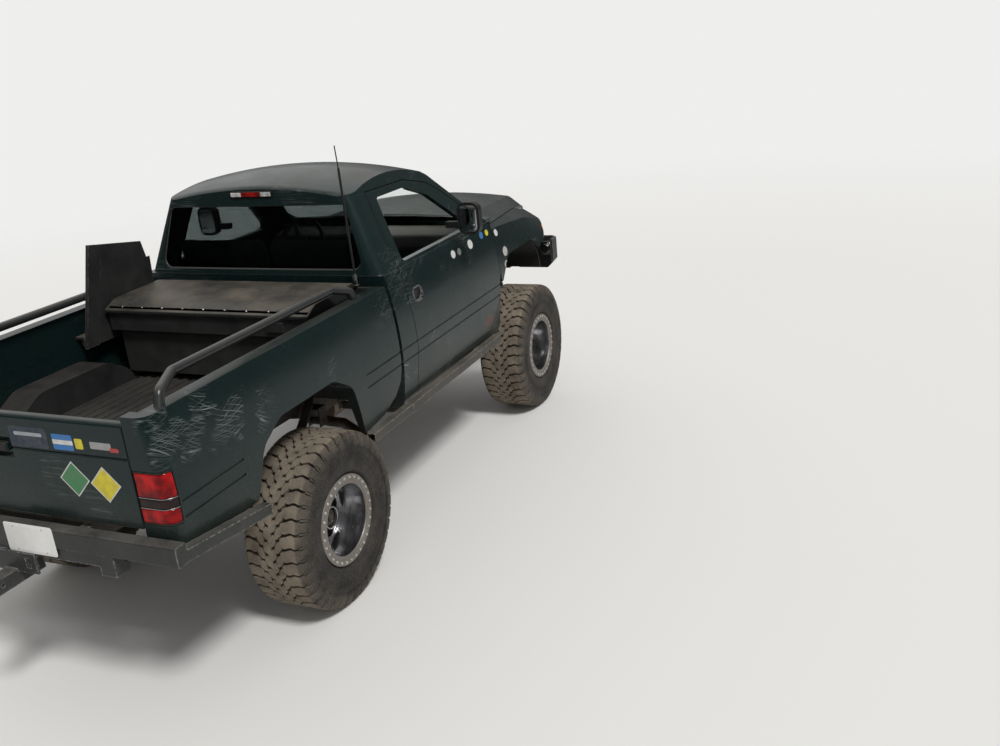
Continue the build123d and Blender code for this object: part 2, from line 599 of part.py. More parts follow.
# Sliders
with BuildPart() as rock_sliders:
    for sign in (-1, 1):
        tube_y = (952, 1006) if sign > 0 else (-1006, -952)
        hollow_y = (957, 1001) if sign > 0 else (-1001, -957)
        block((at(480), at(2370)), tube_y, (736, 790))
        block((at(470), at(2360)), hollow_y, (741, 785), Mode.SUBTRACT)
        sleeve_y = (949, 1009) if sign > 0 else (-1009, -949)
        for station in (960, 2000):
            block((at(station), at(station + 80)), sleeve_y, (733, 793))
            leg_y = (RAIL_OUT_Y, 953) if sign > 0 else (-953, -RAIL_OUT_Y)
            block((at(station + 20), at(station + 60)), leg_y, (712, 752))
            pad_y = (RAIL_OUT_Y, RAIL_OUT_Y + 10) if sign > 0 else (-RAIL_OUT_Y - 10, -RAIL_OUT_Y)
            block((at(station), at(station + 80)), pad_y, (716, 880))
finish(rock_sliders.part, "rock_sliders")

# Front bumper
BUMPER_LAMP_SIDES, BUMPER_LAMP_Z, BUMPER_LAMP_R = (-900, -727, 727, 900), 1124, 59.5
with BuildPart() as front_bumper:
    wing = [(at(3600), 1000), (at(3700), 1000), (at(3752), 950), (at(3752), 640), (at(3950), 560), (at(3950), -560),
            (at(3752), -640), (at(3752), -950), (at(3700), -1000), (at(3600), -1000), (at(3600), -980), (at(3690), -980),
            (at(3732), -940), (at(3732), -628), (at(3926), -548), (at(3926), 548), (at(3732), 628), (at(3732), 940),
            (at(3690), 980), (at(3600), 980)]
    plan_prism(wing, (950, 1228))
    block((at(3700), at(3930)), (-552, 552), (1196, 1216))
    block((at(3700), at(3930)), (-552, 552), (950, 966))
    end_prism([(1010, 940), (1010, 1060), (880, 940)], (at(3500), at(3760)), Mode.SUBTRACT)
    end_prism([(-1010, 940), (-1010, 1060), (-880, 940)], (at(3500), at(3760)), Mode.SUBTRACT)
    for side in BUMPER_LAMP_SIDES:
        rod((at(3600), side, BUMPER_LAMP_Z), (at(3800), side, BUMPER_LAMP_Z), BUMPER_LAMP_R + 0.5, Mode.SUBTRACT)
    for sign in (-1, 1):
        horn_y = (400, 450) if sign > 0 else (-450, -400)
        block((at(3632), at(3734)), horn_y, (970, 1060))
        block((at(3712), at(3734)), (horn_y[0], 632) if sign > 0 else (-632, horn_y[1]), (970, 1190))
finish(front_bumper.part, "front_bumper")

with BuildPart() as bumper_lamps:
    for side in BUMPER_LAMP_SIDES:
        rod((at(3700), side, BUMPER_LAMP_Z), (at(3756), side, BUMPER_LAMP_Z), BUMPER_LAMP_R)
        rod((at(3670), side, BUMPER_LAMP_Z), (at(3700), side, BUMPER_LAMP_Z), 40)
finish(bumper_lamps.part, "bumper_lamps")

# Chassis frame
RAIL_PROFILE = [(at(x), z) for x, z in (
    (-1122, 880), (-1122, 980), (-560, 1000), (420, 1000), (760, 900), (2500, 900), (2640, 960), (3630, 960),
    (3630, 840), (2700, 830), (2520, 760), (700, 760), (440, 860), (-500, 880))]
FRAME_PADS = (-900, -300, 300)
with BuildPart() as frame_rails:
    for rail_y in ((RAIL_IN_Y, RAIL_OUT_Y), (-RAIL_OUT_Y, -RAIL_IN_Y)):
        side_prism(RAIL_PROFILE, rail_y)
        for pad in FRAME_PADS:
            block((at(pad), at(pad + 90)), rail_y, (960, BED_FLOOR_Z - BED_FLOOR_THICKNESS))
        for pad in (1150, 2250):
            block((at(pad), at(pad + 90)), rail_y, (890, FLOOR_Z))
        block((at(640), at(720)), rail_y, (900, BED_FLOOR_Z - BED_FLOOR_THICKNESS))
    for sign in (-1, 1):
        seat_y = (400, 552) if sign > 0 else (-552, -400)
        block((at(WHEELBASE - 72), at(WHEELBASE + 72)), seat_y, (COIL_TOP_Z, COIL_TOP_Z + 24))
        side_prism([(at(WHEELBASE - 60), COIL_TOP_Z + 24), (at(WHEELBASE + 60), COIL_TOP_Z + 24),
                    (at(WHEELBASE + 30), 955), (at(WHEELBASE - 30), 955)],
                   (RAIL_OUT_Y, 475) if sign > 0 else (-475, -RAIL_OUT_Y))
    block((FRONT_AXLE_X - 60, FRONT_AXLE_X + 60), (PITMAN_Y - 45, RAIL_IN_Y), (760, 880))
finish(frame_rails.part, "frame_rails")
with BuildPart() as cross_members:
    # Columns: station, lowest z, highest z
    for x, low, high in ((-1100, 890, 970), (-430, 900, 980), (500, 880, 960), (1210, 832, 892), (3560, 850, 950)):
        block((at(x), at(x + 60)), (-RAIL_IN_Y, RAIL_IN_Y), (low, high))
finish(cross_members.part, "cross_members")

# Axles
AXLE_Z = TYRE_R
SPINDLE_R, KINGPIN_R, RUNNING_GAP = 30, 16, 0.06
EAR_LOW, EAR_HIGH, EAR_THICK = 372, 588, 20
with BuildPart() as rear_axle:
    rod((REAR_AXLE_X, -765, AXLE_Z), (REAR_AXLE_X, 765, AXLE_Z), 44)
    rod((REAR_AXLE_X, -95, AXLE_Z), (REAR_AXLE_X, 95, AXLE_Z), 150)
    with Locations((REAR_AXLE_X, 0, AXLE_Z)):
        Sphere(160)
    rod((REAR_AXLE_X, 0, AXLE_Z), (REAR_AXLE_X + 260, 0, AXLE_Z + 20), 58)
    for sign in (-1, 1):
        rod((REAR_AXLE_X, sign * 765, AXLE_Z), (REAR_AXLE_X, sign * 805, AXLE_Z), 165)
        rod((REAR_AXLE_X, sign * 805, AXLE_Z), (REAR_AXLE_X, sign * 832, AXLE_Z), 45)
        rod((REAR_AXLE_X, sign * 832, AXLE_Z), (REAR_AXLE_X, sign * 895, AXLE_Z), SPINDLE_R)
        block((REAR_AXLE_X - 70, REAR_AXLE_X + 70), (466, 534) if sign > 0 else (-534, -466), (AXLE_Z + 20, 552))
finish(rear_axle.part, "rear_axle")

DIFF_Y = 250
with BuildPart() as front_axle:
    rod((FRONT_AXLE_X, 76 - KINGPIN_Y, AXLE_Z), (FRONT_AXLE_X, KINGPIN_Y - 76, AXLE_Z), 42)
    with Locations((FRONT_AXLE_X, DIFF_Y, AXLE_Z)):
        Sphere(130)
    rod((FRONT_AXLE_X, DIFF_Y - 80, AXLE_Z), (FRONT_AXLE_X, DIFF_Y + 80, AXLE_Z), 118)
    rod((FRONT_AXLE_X, DIFF_Y, AXLE_Z), (FRONT_AXLE_X - 250, DIFF_Y, AXLE_Z + 30), 54)
    for sign in (-1, 1):
        kingpin = sign * KINGPIN_Y
        yoke_y = sorted((sign * (KINGPIN_Y - 90), sign * (KINGPIN_Y - 64)))
        ear_y = sorted((sign * (KINGPIN_Y - 90), kingpin))
        block((FRONT_AXLE_X - 40, FRONT_AXLE_X + 40), yoke_y, (EAR_LOW, EAR_HIGH + EAR_THICK))
        for low in (EAR_LOW, EAR_HIGH):
            high = low + EAR_THICK
            block((FRONT_AXLE_X - 40, FRONT_AXLE_X + 40), ear_y, (low, high))
            rod((FRONT_AXLE_X, kingpin, low), (FRONT_AXLE_X, kingpin, high), 40)
            rod((FRONT_AXLE_X, kingpin, low - 1), (FRONT_AXLE_X, kingpin, high + 1), KINGPIN_R + RUNNING_GAP,
                Mode.SUBTRACT)
        rod((FRONT_AXLE_X, sign * 480, AXLE_Z + 20), (FRONT_AXLE_X, sign * 480, 548), 74)
finish(front_axle.part, "front_axle")

# Suspension
with BuildPart() as rear_springs:
    for sign in (-1, 1):
        spring_y = (468, 532) if sign > 0 else (-532, -468)
        side_prism([(at(-110), 552), (at(110), 552), (at(400), 640), (at(640), 752), (at(640), 772), (at(400), 664),
                    (at(110), 600), (at(-110), 600), (at(-400), 672), (at(-660), 790), (at(-660), 770),
                    (at(-400), 648)], spring_y)
        for eye_x, eye_z in ((650, 766), (-670, 786)):
            rod((at(eye_x), sign * 468, eye_z), (at(eye_x), sign * 532, eye_z), 24)
        hanger_y = (RAIL_OUT_Y, 466) if sign > 0 else (-466, -RAIL_OUT_Y)
        outer_y = (534, 544) if sign > 0 else (-544, -534)
        for eye_x, low, high in ((650, 740, 850), (-670, 760, 885)):
            block((at(eye_x - 40), at(eye_x + 40)), outer_y, (low, high))
            block((at(eye_x - 40), at(eye_x + 40)), hanger_y, (low, high))
            block((at(eye_x - 40), at(eye_x + 40)), (hanger_y[0], outer_y[1]) if sign > 0 else (outer_y[0], hanger_y[1]),
                  (high, high + 12))
            rod((at(eye_x), sign * 460, low + 26), (at(eye_x), sign * 540, low + 26), 10)
finish(rear_springs.part, "rear_springs")

COIL_R, COIL_WIRE, COIL_TURNS = 58, 9, 7
with BuildPart() as front_springs:
    pitch = (COIL_TOP_Z - COIL_LOW_Z) / COIL_TURNS
    for sign in (-1, 1):
        rod((FRONT_AXLE_X, sign * 480, COIL_LOW_Z), (FRONT_AXLE_X, sign * 480, COIL_TOP_Z), 50)
        for turn in range(COIL_TURNS):
            middle = COIL_LOW_Z + pitch * (turn + 0.5)
            rod((FRONT_AXLE_X, sign * 480, middle - COIL_WIRE), (FRONT_AXLE_X, sign * 480, middle + COIL_WIRE), COIL_R + 8)
finish(front_springs.part, "front_springs")

with BuildPart() as shock_absorbers:
    # Columns: lower end, joint of body and rod, upper end
    for low, joint, high in (((at(-120), 590, 470), (at(-150), 560, 720), (at(-175), 500, 878)),
                             ((FRONT_AXLE_X - 110, 590, 480), (FRONT_AXLE_X - 130, 560, 700), (FRONT_AXLE_X - 150, 500, 900))):
        for sign in (-1, 1):
            low_end, middle, top_end = [(x, sign * y, z) for x, y, z in (low, joint, high)]
            rod(low_end, middle, 34)
            rod(middle, top_end, 24)
finish(shock_absorbers.part, "shock_absorbers")

# The arms keep inside the reach of the steered tyres.
with BuildPart() as front_links:
    for sign in (-1, 1):
        rod((FRONT_AXLE_X - 60, sign * 530, AXLE_Z - 60), (at(2150), sign * 425, 735), 20)
        rod((at(2150), sign * 425, 722), (at(2150), sign * 425, 760), 34)
        block((FRONT_AXLE_X - 90, FRONT_AXLE_X - 45), (505, 555) if sign > 0 else (-555, -505),
              (AXLE_Z - 90, AXLE_Z - 30))
finish(front_links.part, "front_links")

# Driveline
with BuildPart() as engine_block:
    block((at(2720), at(3380)), (-230, 230), (880, 1390))
    block((at(2080), at(2720)), (-150, 150), (790, 915))
    block((at(1700), at(2080)), (-130, 300), (740, 915))
finish(engine_block.part, "engine_block")

with BuildPart() as drive_shafts:
    rod((REAR_AXLE_X + 276, 0, AXLE_Z + 20), (at(1688), 0, 845), 38)
    rod((FRONT_AXLE_X - 268, DIFF_Y, AXLE_Z + 30), (at(2094), DIFF_Y, 790), 28)
finish(drive_shafts.part, "drive_shafts")

with BuildPart() as fuel_tank:
    block((at(1060), at(1900)), (470, 590), (680, 900))
    fillet(fuel_tank.edges().filter_by(Axis.X), 30)
finish(fuel_tank.part, "fuel_tank")

EXHAUST_R, MUFFLER_R = 32, 95
with BuildPart() as exhaust:
    rod((at(1000), -300, 700), (at(1500), -300, 700), MUFFLER_R)
    exhaust_route = [(at(2740), -262, 840), (at(2300), -280, 720), (at(1500), -300, 700), (at(1000), -300, 700),
                     (at(800), -380, 705), (at(780), -600, 705), (at(600), -880, 695)]
    for start, end in zip(exhaust_route, exhaust_route[1:]):
        rod(start, end, EXHAUST_R)
        with Locations(start):
            Sphere(EXHAUST_R)
finish(exhaust.part, "exhaust")

# Interior
with BuildPart() as seat_cushion:
    side_prism([(at(1270), SEAT_BASE_TOP), (at(1270), 1240), (at(1330), 1280), (at(1760), 1310), (at(1800), 1270),
                (at(1790), 1110), (at(1760), SEAT_BASE_TOP)], (-700, 700))
finish(seat_cushion.part, "seat_cushion")
with BuildPart() as seat_backrest:
    side_prism([(at(1130), 1240), (at(1040), 1800), (at(1110), 1830), (at(1160), 1800), (at(1262), 1300),
                (at(1262), 1240)], (-700, 700))
finish(seat_backrest.part, "seat_backrest")

with BuildPart() as dashboard:
    side_prism([(at(2540), 1370), (at(2540), 1580), (at(2380), 1596), (at(2230), 1570), (at(2200), 1480),
                (at(2250), 1370)], (-780, 780))
finish(dashboard.part, "dashboard")

WHEEL_HUB = (at(2040), 400, 1560)
WHEEL_TILT = 28
with BuildPart() as steering_wheel:
    column_dir = (math.cos(math.radians(WHEEL_TILT)), 0, -math.sin(math.radians(WHEEL_TILT)))
    with BuildSketch(Plane(origin=WHEEL_HUB, z_dir=column_dir)) as face:
        Circle(195)
        Circle(168, mode=Mode.SUBTRACT)
        with PolarLocations(0, 3, start_angle=90):
            with Locations((90, 0)):
                Rectangle(180, 34)
        Circle(52)
    extrude(face.sketch, amount=26)
    rod(WHEEL_HUB, tuple(WHEEL_HUB[i] + 260 * column_dir[i] for i in range(3)), 32)
    add(dashboard.part, mode=Mode.SUBTRACT)
finish(steering_wheel.part, "steering_wheel")

# Door mirrors
with BuildPart() as mirror_left:
    block((at(1860), at(1932)), (1000, 1160), (1656, 1872))
    fillet(mirror_left.edges().filter_by(Axis.X), 58)
    fillet(mirror_left.faces().sort_by(Axis.X)[-1].edges(), 26)
    block((at(1870), at(1920)), (902, 1010), (1700, 1740))
mirror_left_part = mirror_left.part
finish(mirror_left_part, "mirror_left")
finish(mirror(mirror_left_part, about=Plane.XZ), "mirror_right")

# Wheels and tyres
LUG_COUNT = 30
LUG_PITCH = 2 * math.pi / LUG_COUNT
# The lowest lug corners lie a tenth of a pitch from straight below the axle and touch the ground.
LUG_ROOT_R, LUG_TIP_R = 468, TYRE_R / math.cos(0.1 * LUG_PITCH)
BEAD_R, BEAD_Y = 222.3, 138
SIDEWALL_R, SIDEWALL_Y = 350, 178
SHOULDER_Y, CENTRE_GROOVE_Y = 158, 6
CAVITY_R, CAVITY_Y = 428, 122
BARREL_R, SEAT_R = 196, 221
RING_R = 256


def tyre_point(radius, share):
    """A point of the tyre's side view, at a share of a lug pitch from the lowest facet's first edge."""
    turn = LUG_PITCH * (share - 0.5) - math.pi / 2
    return (radius * math.cos(turn), radius * math.sin(turn))


def facets(stations, mode=Mode.ADD, step=1):
    """A many-sided form through (y, radius) stations, with one flat facet for each lug or few lugs."""
    rings = []
    for y, radius in stations:
        corners = [tyre_point(radius, lug) for lug in range(0, LUG_COUNT, step)]
        rings.append([(x, y, z) for x, z in corners])
    faces = [Face(Wire.make_polygon(rings[0])), Face(Wire.make_polygon(rings[-1]))]
    for first, second in zip(rings, rings[1:]):
        for k, corner in enumerate(first):
            faces.append(Face(Wire.make_polygon([first[k - 1], corner, second[k], second[k - 1]])))
    add(Solid(Shell(faces)), mode=mode)


def lug_row(y, start, end):
    """One row of tread bars, each between two shares of its facet and from the lower to the higher y."""
    with BuildSketch(Plane.XZ.offset(-y[1])) as bars:
        for lug in range(LUG_COUNT):
            Polygon(tyre_point(LUG_ROOT_R - 14, lug + start), tyre_point(LUG_TIP_R, lug + start + 0.04),
                    tyre_point(LUG_TIP_R, lug + end - 0.04), tyre_point(LUG_ROOT_R - 14, lug + end), align=None)
    extrude(bars.sketch, amount=y[1] - y[0])


def make_tyre(label, centre_x, centre_y):
    """A mud tyre: a hollow many-sided carcass with two staggered rows of bars fused to it."""
    with BuildPart() as tyre:
        facets(((-SIDEWALL_Y, SIDEWALL_R), (-SHOULDER_Y, LUG_ROOT_R), (SHOULDER_Y, LUG_ROOT_R),
                (SIDEWALL_Y, SIDEWALL_R)))
        lug_row((CENTRE_GROOVE_Y, SHOULDER_Y), 0.02, 0.64)
        lug_row((-SHOULDER_Y, -CENTRE_GROOVE_Y), 0.36, 0.98)
        for sign in (-1, 1):
            facets(((sign * BEAD_Y, BEAD_R), (sign * SIDEWALL_Y, SIDEWALL_R)), Mode.SUBTRACT)
        facets(((-BEAD_Y, BEAD_R), (BEAD_Y, BEAD_R)), Mode.SUBTRACT)
        facets(((-CAVITY_Y, CAVITY_R), (CAVITY_Y, CAVITY_R)), Mode.SUBTRACT, 3)
    placed = Pos(centre_x, centre_y, AXLE_Z) * tyre.part
    finish(placed, label)


def make_wheel(label, centre_x, sign):
    """A deep-dish wheel: turned barrel with a clamped outer ring, a disc with six windows and a hub."""
    with BuildPart() as wheel:
        with BuildSketch(Plane.XY) as section:
            Polygon((SEAT_R, 150), (RING_R, 150), (RING_R, 163), (BARREL_R, 163), (BARREL_R, -128), (214, -152),
                    (240, -152), (240, -146), (SEAT_R, -144), (SEAT_R, -118), (BARREL_R + 10, -106),
                    (BARREL_R + 10, 106), (SEAT_R, 118), align=None)
        revolve(section.sketch, axis=Axis.Y)
        rod((0, -40, 0), (0, -18, 0), 200)
        with BuildSketch(Plane.XZ.offset(10)) as windows:
            with PolarLocations(140, 6):
                Circle(42)
        extrude(windows.sketch, amount=50, mode=Mode.SUBTRACT)
        rod((0, -18, 0), (0, 62, 0), 66)
        rod((0, -90, 0), (0, 70, 0), 55, Mode.SUBTRACT)
        rod((0, -60, 0), (0, -40, 0), 90)
        rod((0, -60, 0), (0, 58, 0), 50)
        rod((0, -61, 0), (0, 0, 0), SPINDLE_R + RUNNING_GAP, Mode.SUBTRACT)
    body = wheel.part if sign > 0 else mirror(wheel.part, about=Plane.XZ)
    finish(Pos(centre_x, sign * TRACK_Y, AXLE_Z) * body, label)


for label, centre_x, sign in (("rear_left", REAR_AXLE_X, 1), ("rear_right", REAR_AXLE_X, -1),
                              ("front_left", FRONT_AXLE_X, 1), ("front_right", FRONT_AXLE_X, -1)):
    make_tyre(f"tyre_{label}", centre_x, sign * TRACK_Y)
    make_wheel(f"wheel_{label}", centre_x, sign)


# Steering
def make_knuckle(label, sign):
    """A steering knuckle: a body between the axle's ears, a spindle, a steering arm and a brake caliper."""
    with BuildPart() as knuckle:
        block((-36, 36), (KINGPIN_Y - 30, KINGPIN_Y + 40), (398, 582))
        for low in (EAR_LOW - 6, EAR_HIGH - 6):
            rod((0, KINGPIN_Y, low), (0, KINGPIN_Y, low + EAR_THICK + 12), KINGPIN_R)
        rod((0, KINGPIN_Y + 30, AXLE_Z), (0, 832, AXLE_Z), 45)
        rod((0, 832, AXLE_Z), (0, 895, AXLE_Z), SPINDLE_R)
        rod((0, KINGPIN_Y + 40, AXLE_Z), (0, KINGPIN_Y + 56, AXLE_Z), 150)
        block((-172, -100), (KINGPIN_Y + 38, KINGPIN_Y + 90), (AXLE_Z - 60, AXLE_Z + 60))
        block((-30, 30), (KINGPIN_Y + 46, KINGPIN_Y + 70), (AXLE_Z, STEER_ARM_Z[1]))
        plan_prism([(-30, KINGPIN_Y + 70), (-30, KINGPIN_Y + 46), (60, KINGPIN_Y + 40), (STEER_ARM - 16, KINGPIN_Y - 16),
                    (STEER_ARM + 16, KINGPIN_Y + 16), (80, KINGPIN_Y + 70)], STEER_ARM_Z)
        rod((STEER_ARM, KINGPIN_Y, STEER_ARM_Z[0]), (STEER_ARM, KINGPIN_Y, STEER_ARM_Z[1]), 24)
    body = knuckle.part if sign > 0 else mirror(knuckle.part, about=Plane.XZ)
    finish(Pos(FRONT_AXLE_X, 0, 0) * body, label)


make_knuckle("knuckle_left", 1)
make_knuckle("knuckle_right", -1)

# Steering rods. Each runs parallel to the axle, so that with its arms it makes a true parallelogram.
ROD_X = FRONT_AXLE_X + STEER_ARM
with BuildPart() as tie_rod:
    rod((ROD_X, -KINGPIN_Y, TIE_ROD_Z), (ROD_X, KINGPIN_Y, TIE_ROD_Z), 14)
    for sign in (-1, 1):
        rod((ROD_X, sign * KINGPIN_Y, TIE_ROD_Z - 16), (ROD_X, sign * KINGPIN_Y, TIE_ROD_Z + 14), 22)
finish(tie_rod.part, "tie_rod")
with BuildPart() as pitman_arm:
    rod((FRONT_AXLE_X, PITMAN_Y, PITMAN_Z[0]), (FRONT_AXLE_X, PITMAN_Y, 754), 22)
    block((FRONT_AXLE_X, ROD_X), (PITMAN_Y - 18, PITMAN_Y + 18), PITMAN_Z)
    rod((ROD_X, PITMAN_Y, PITMAN_Z[0]), (ROD_X, PITMAN_Y, PITMAN_Z[1]), 24)
finish(pitman_arm.part, "pitman_arm")
DRAG_LINK_LEFT_Z = 680
with BuildPart() as drag_link:
    rod((ROD_X, -KINGPIN_Y, DRAG_LINK_Z), (ROD_X, PITMAN_Y, DRAG_LINK_LEFT_Z), 14)
    rod((ROD_X, -KINGPIN_Y, DRAG_LINK_Z - 14), (ROD_X, -KINGPIN_Y, DRAG_LINK_Z + 16), 22)
    rod((ROD_X, PITMAN_Y, DRAG_LINK_LEFT_Z - 16), (ROD_X, PITMAN_Y, DRAG_LINK_LEFT_Z + 14), 22)
finish(drag_link.part, "drag_link")
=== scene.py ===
import bpy
import bmesh
import math
from mathutils import Matrix, Vector


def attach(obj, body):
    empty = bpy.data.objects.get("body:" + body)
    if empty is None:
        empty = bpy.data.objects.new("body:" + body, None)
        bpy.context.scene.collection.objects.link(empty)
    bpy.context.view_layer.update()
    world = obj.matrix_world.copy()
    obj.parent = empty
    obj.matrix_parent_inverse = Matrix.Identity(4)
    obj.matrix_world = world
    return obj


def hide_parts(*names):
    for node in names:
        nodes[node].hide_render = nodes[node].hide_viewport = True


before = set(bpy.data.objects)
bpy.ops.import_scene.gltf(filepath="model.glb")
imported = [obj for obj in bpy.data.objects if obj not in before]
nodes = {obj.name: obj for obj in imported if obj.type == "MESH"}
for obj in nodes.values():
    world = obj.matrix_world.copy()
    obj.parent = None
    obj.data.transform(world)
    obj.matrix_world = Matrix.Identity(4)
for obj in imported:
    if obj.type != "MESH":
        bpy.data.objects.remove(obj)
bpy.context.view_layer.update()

# View and light. A camera at the photograph's place, a pale floor that fades into the backdrop, and
# soft plain light from above and behind the truck's right side.
def linked(name, data):
    """A new object in the scene."""
    obj = bpy.data.objects.new(name, data)
    bpy.context.collection.objects.link(obj)
    return obj


camera = linked("camera", bpy.data.cameras.new("camera"))
bpy.context.scene.camera = camera
camera.data.lens = 35.78
camera.data.sensor_width = 36
camera.data.clip_end = 200
ahead = Vector((0.85692373, 0.39346561, -0.33296627)).normalized()
upward = Vector((0.34084228, 0.05203194, 0.93867951)).normalized()
rightward = ahead.cross(upward).normalized()
turn = Matrix((rightward, rightward.cross(ahead), -ahead)).transposed().to_4x4()
camera.matrix_world = Matrix.Translation((-5.3409, -3.9265, 2.9811)) @ turn
bpy.context.scene.view_settings.view_transform = "Standard"


def add(tree, kind, inputs=None, **settings):
    """A node with its settings, and with its inputs set to values or linked from other sockets."""
    made = tree.nodes.new(kind)
    for name, value in settings.items():
        setattr(made, name, value)
    for name, value in (inputs or {}).items():
        if isinstance(value, bpy.types.NodeSocket):
            tree.links.new(value, made.inputs[name])
        else:
            made.inputs[name].default_value = value
    return made


def calc(tree, operation, a, b=0.0, clamp=False):
    """A math node's result."""
    return add(tree, "ShaderNodeMath", {0: a, 1: b}, operation=operation, use_clamp=clamp).outputs[0]


def ramp(tree, value, start, end, low=0.0, high=1.0):
    """A value carried from one range to another and held at its ends."""
    return add(tree, "ShaderNodeMapRange", {0: value, 1: start, 2: end, 3: low, 4: high}).outputs[0]


def blend(tree, factor, first, second):
    """One colour going over to a second by a factor."""
    return add(tree, "ShaderNodeMix", {0: factor, 6: first, 7: second}, data_type="RGBA").outputs[2]


def object_place(tree):
    """The piece's own coordinates in metres."""
    return add(tree, "ShaderNodeTexCoord").outputs["Object"]


def blank_material(name):
    """A material with an empty tree."""
    material = bpy.data.materials.new(name)
    material.use_nodes = True
    material.node_tree.nodes.clear()
    return material, material.node_tree


world = bpy.data.worlds.new("studio")
bpy.context.scene.world = world
world.use_nodes = True
sky = world.node_tree
sky.nodes.clear()
path = add(sky, "ShaderNodeLightPath")
seen = calc(sky, "MAXIMUM", path.outputs["Is Camera Ray"], path.outputs["Is Transmission Ray"])
upness = add(sky, "ShaderNodeSeparateXYZ",
             {0: add(sky, "ShaderNodeTexCoord").outputs["Generated"]}).outputs[2]
mirrored = ramp(sky, upness, -0.05, 0.75, 0.06, 0.62)
unseen = add(sky, "ShaderNodeMix", {0: path.outputs["Is Glossy Ray"], 2: 0.5, 3: mirrored},
             data_type="FLOAT").outputs[0]
level = calc(sky, "MAXIMUM", seen, unseen)
backdrop = add(sky, "ShaderNodeBackground", {"Color": (0.86, 0.86, 0.85, 1), "Strength": level})
add(sky, "ShaderNodeOutputWorld", {"Surface": backdrop.outputs[0]})

for label, facing, strength, softness in (("key", (0.42, 0.62, -1.0), 2.3, 12),
                                          ("fill", (-0.7, -0.9, -0.8), 0.5, 60)):
    lamp = linked(label, bpy.data.lights.new(label, "SUN"))
    lamp.data.energy = strength
    lamp.data.angle = math.radians(softness)
    lamp.rotation_euler = Vector(facing).to_track_quat("-Z", "Y").to_euler()

floor_mesh = bpy.data.meshes.new("floor")
floor_mesh.from_pydata([(-40, -40, 0), (40, -40, 0), (40, 40, 0), (-40, 40, 0)], [], [(0, 1, 2, 3)])
floor = linked("floor", floor_mesh)
floor_finish, ground = blank_material("pale floor")
reach = add(ground, "ShaderNodeVectorMath", {0: object_place(ground)}, operation="LENGTH")
fade = ramp(ground, reach.outputs["Value"], 7.0, 16.0)
speckle = add(ground, "ShaderNodeTexNoise", {"Scale": 3.0, "Detail": 4.0}).outputs[0]
tone = blend(ground, speckle, (0.71, 0.70, 0.68, 1), (0.76, 0.75, 0.735, 1))
matt = add(ground, "ShaderNodeBsdfPrincipled", {"Base Color": tone, "Roughness": 0.9,
                                                "Specular IOR Level": 0.1})
hidden = calc(ground, "MAXIMUM", fade, add(ground, "ShaderNodeNewGeometry").outputs["Backfacing"])
cover = add(ground, "ShaderNodeMixShader", {0: hidden, 1: matt.outputs[0],
                                            2: add(ground, "ShaderNodeBsdfTransparent").outputs[0]})
add(ground, "ShaderNodeOutputMaterial", {"Surface": cover.outputs[0]})
floor_mesh.materials.append(floor_finish)


# Chassis frame. Two boxed steel rails with cross members, body pads and spring brackets, welded and
# painted dark, with dust caked on whatever faces up. The solids keep their own shape, edges rounded.
def shader_group(name, inputs, outputs):
    """An empty shader group with float or colour sockets, and its inner ends."""
    tree = bpy.data.node_groups.new(name, "ShaderNodeTree")
    for label, value in inputs:
        kind = "NodeSocketColor" if isinstance(value, tuple) else "NodeSocketFloat"
        tree.interface.new_socket(label, in_out="INPUT", socket_type=kind).default_value = value
    for label, kind in outputs:
        tree.interface.new_socket(label, in_out="OUTPUT", socket_type=kind)
    return tree, tree.nodes.new("NodeGroupInput").outputs, tree.nodes.new("NodeGroupOutput").inputs


def fill_in(tree, results, values):
    """Links a group's results to its outputs."""
    for name, value in values.items():
        tree.links.new(value, results[name])


def times(tree, a, b):
    """Two values multiplied."""
    return calc(tree, "MULTIPLY", a, b)


def plus(tree, a, b):
    """Two values added."""
    return calc(tree, "ADD", a, b)


def noise(tree, place, scale, detail, rough=0.5):
    """A noise texture's value."""
    inputs = {"Vector": place, "Scale": scale, "Detail": detail, "Roughness": rough}
    return add(tree, "ShaderNodeTexNoise", inputs).outputs[0]


# Dust settles on low places and on faces that look up; clouds and specks break it.
dust_group, given, results = shader_group(
    "Road dust", [("Color", (0.1, 0.1, 0.1, 1)), ("Roughness", 0.5), ("Dust", (0.3, 0.25, 0.18, 1)),
                  ("Amount", 0.5), ("Low", 0.3), ("High", 1.4), ("Top", 0.4)],
    [("Color", "NodeSocketColor"), ("Roughness", "NodeSocketFloat"), ("Height", "NodeSocketFloat")])
place = add(dust_group, "ShaderNodeTexCoord")
height = add(dust_group, "ShaderNodeSeparateXYZ", {0: place.outputs["Object"]}).outputs[2]
lean = add(dust_group, "ShaderNodeSeparateXYZ", {0: place.outputs["Normal"]}).outputs[2]
falling = ramp(dust_group, height, given["High"], given["Low"])
resting = times(dust_group, ramp(dust_group, lean, 0.45, 0.98), given["Top"])
clouds = noise(dust_group, place.outputs["Object"], 3.2, 7.0, 0.62)
specks = noise(dust_group, place.outputs["Object"], 85.0, 5.0, 0.7)
broken = plus(dust_group, ramp(dust_group, clouds, 0.34, 0.68, 0.2, 1.0),
              ramp(dust_group, specks, 0.4, 0.7, -0.25, 0.25))
laid = plus(dust_group, times(dust_group, falling, given["Amount"]), resting)
mask = calc(dust_group, "MULTIPLY", laid, broken, clamp=True)
fill_in(dust_group, results, {
    "Color": blend(dust_group, mask, given["Color"], given["Dust"]),
    "Roughness": plus(dust_group, times(dust_group, given["Roughness"],
                                        calc(dust_group, "SUBTRACT", 1.0, mask)),
                      times(dust_group, mask, 0.93)),
    "Height": times(dust_group, mask, specks)})

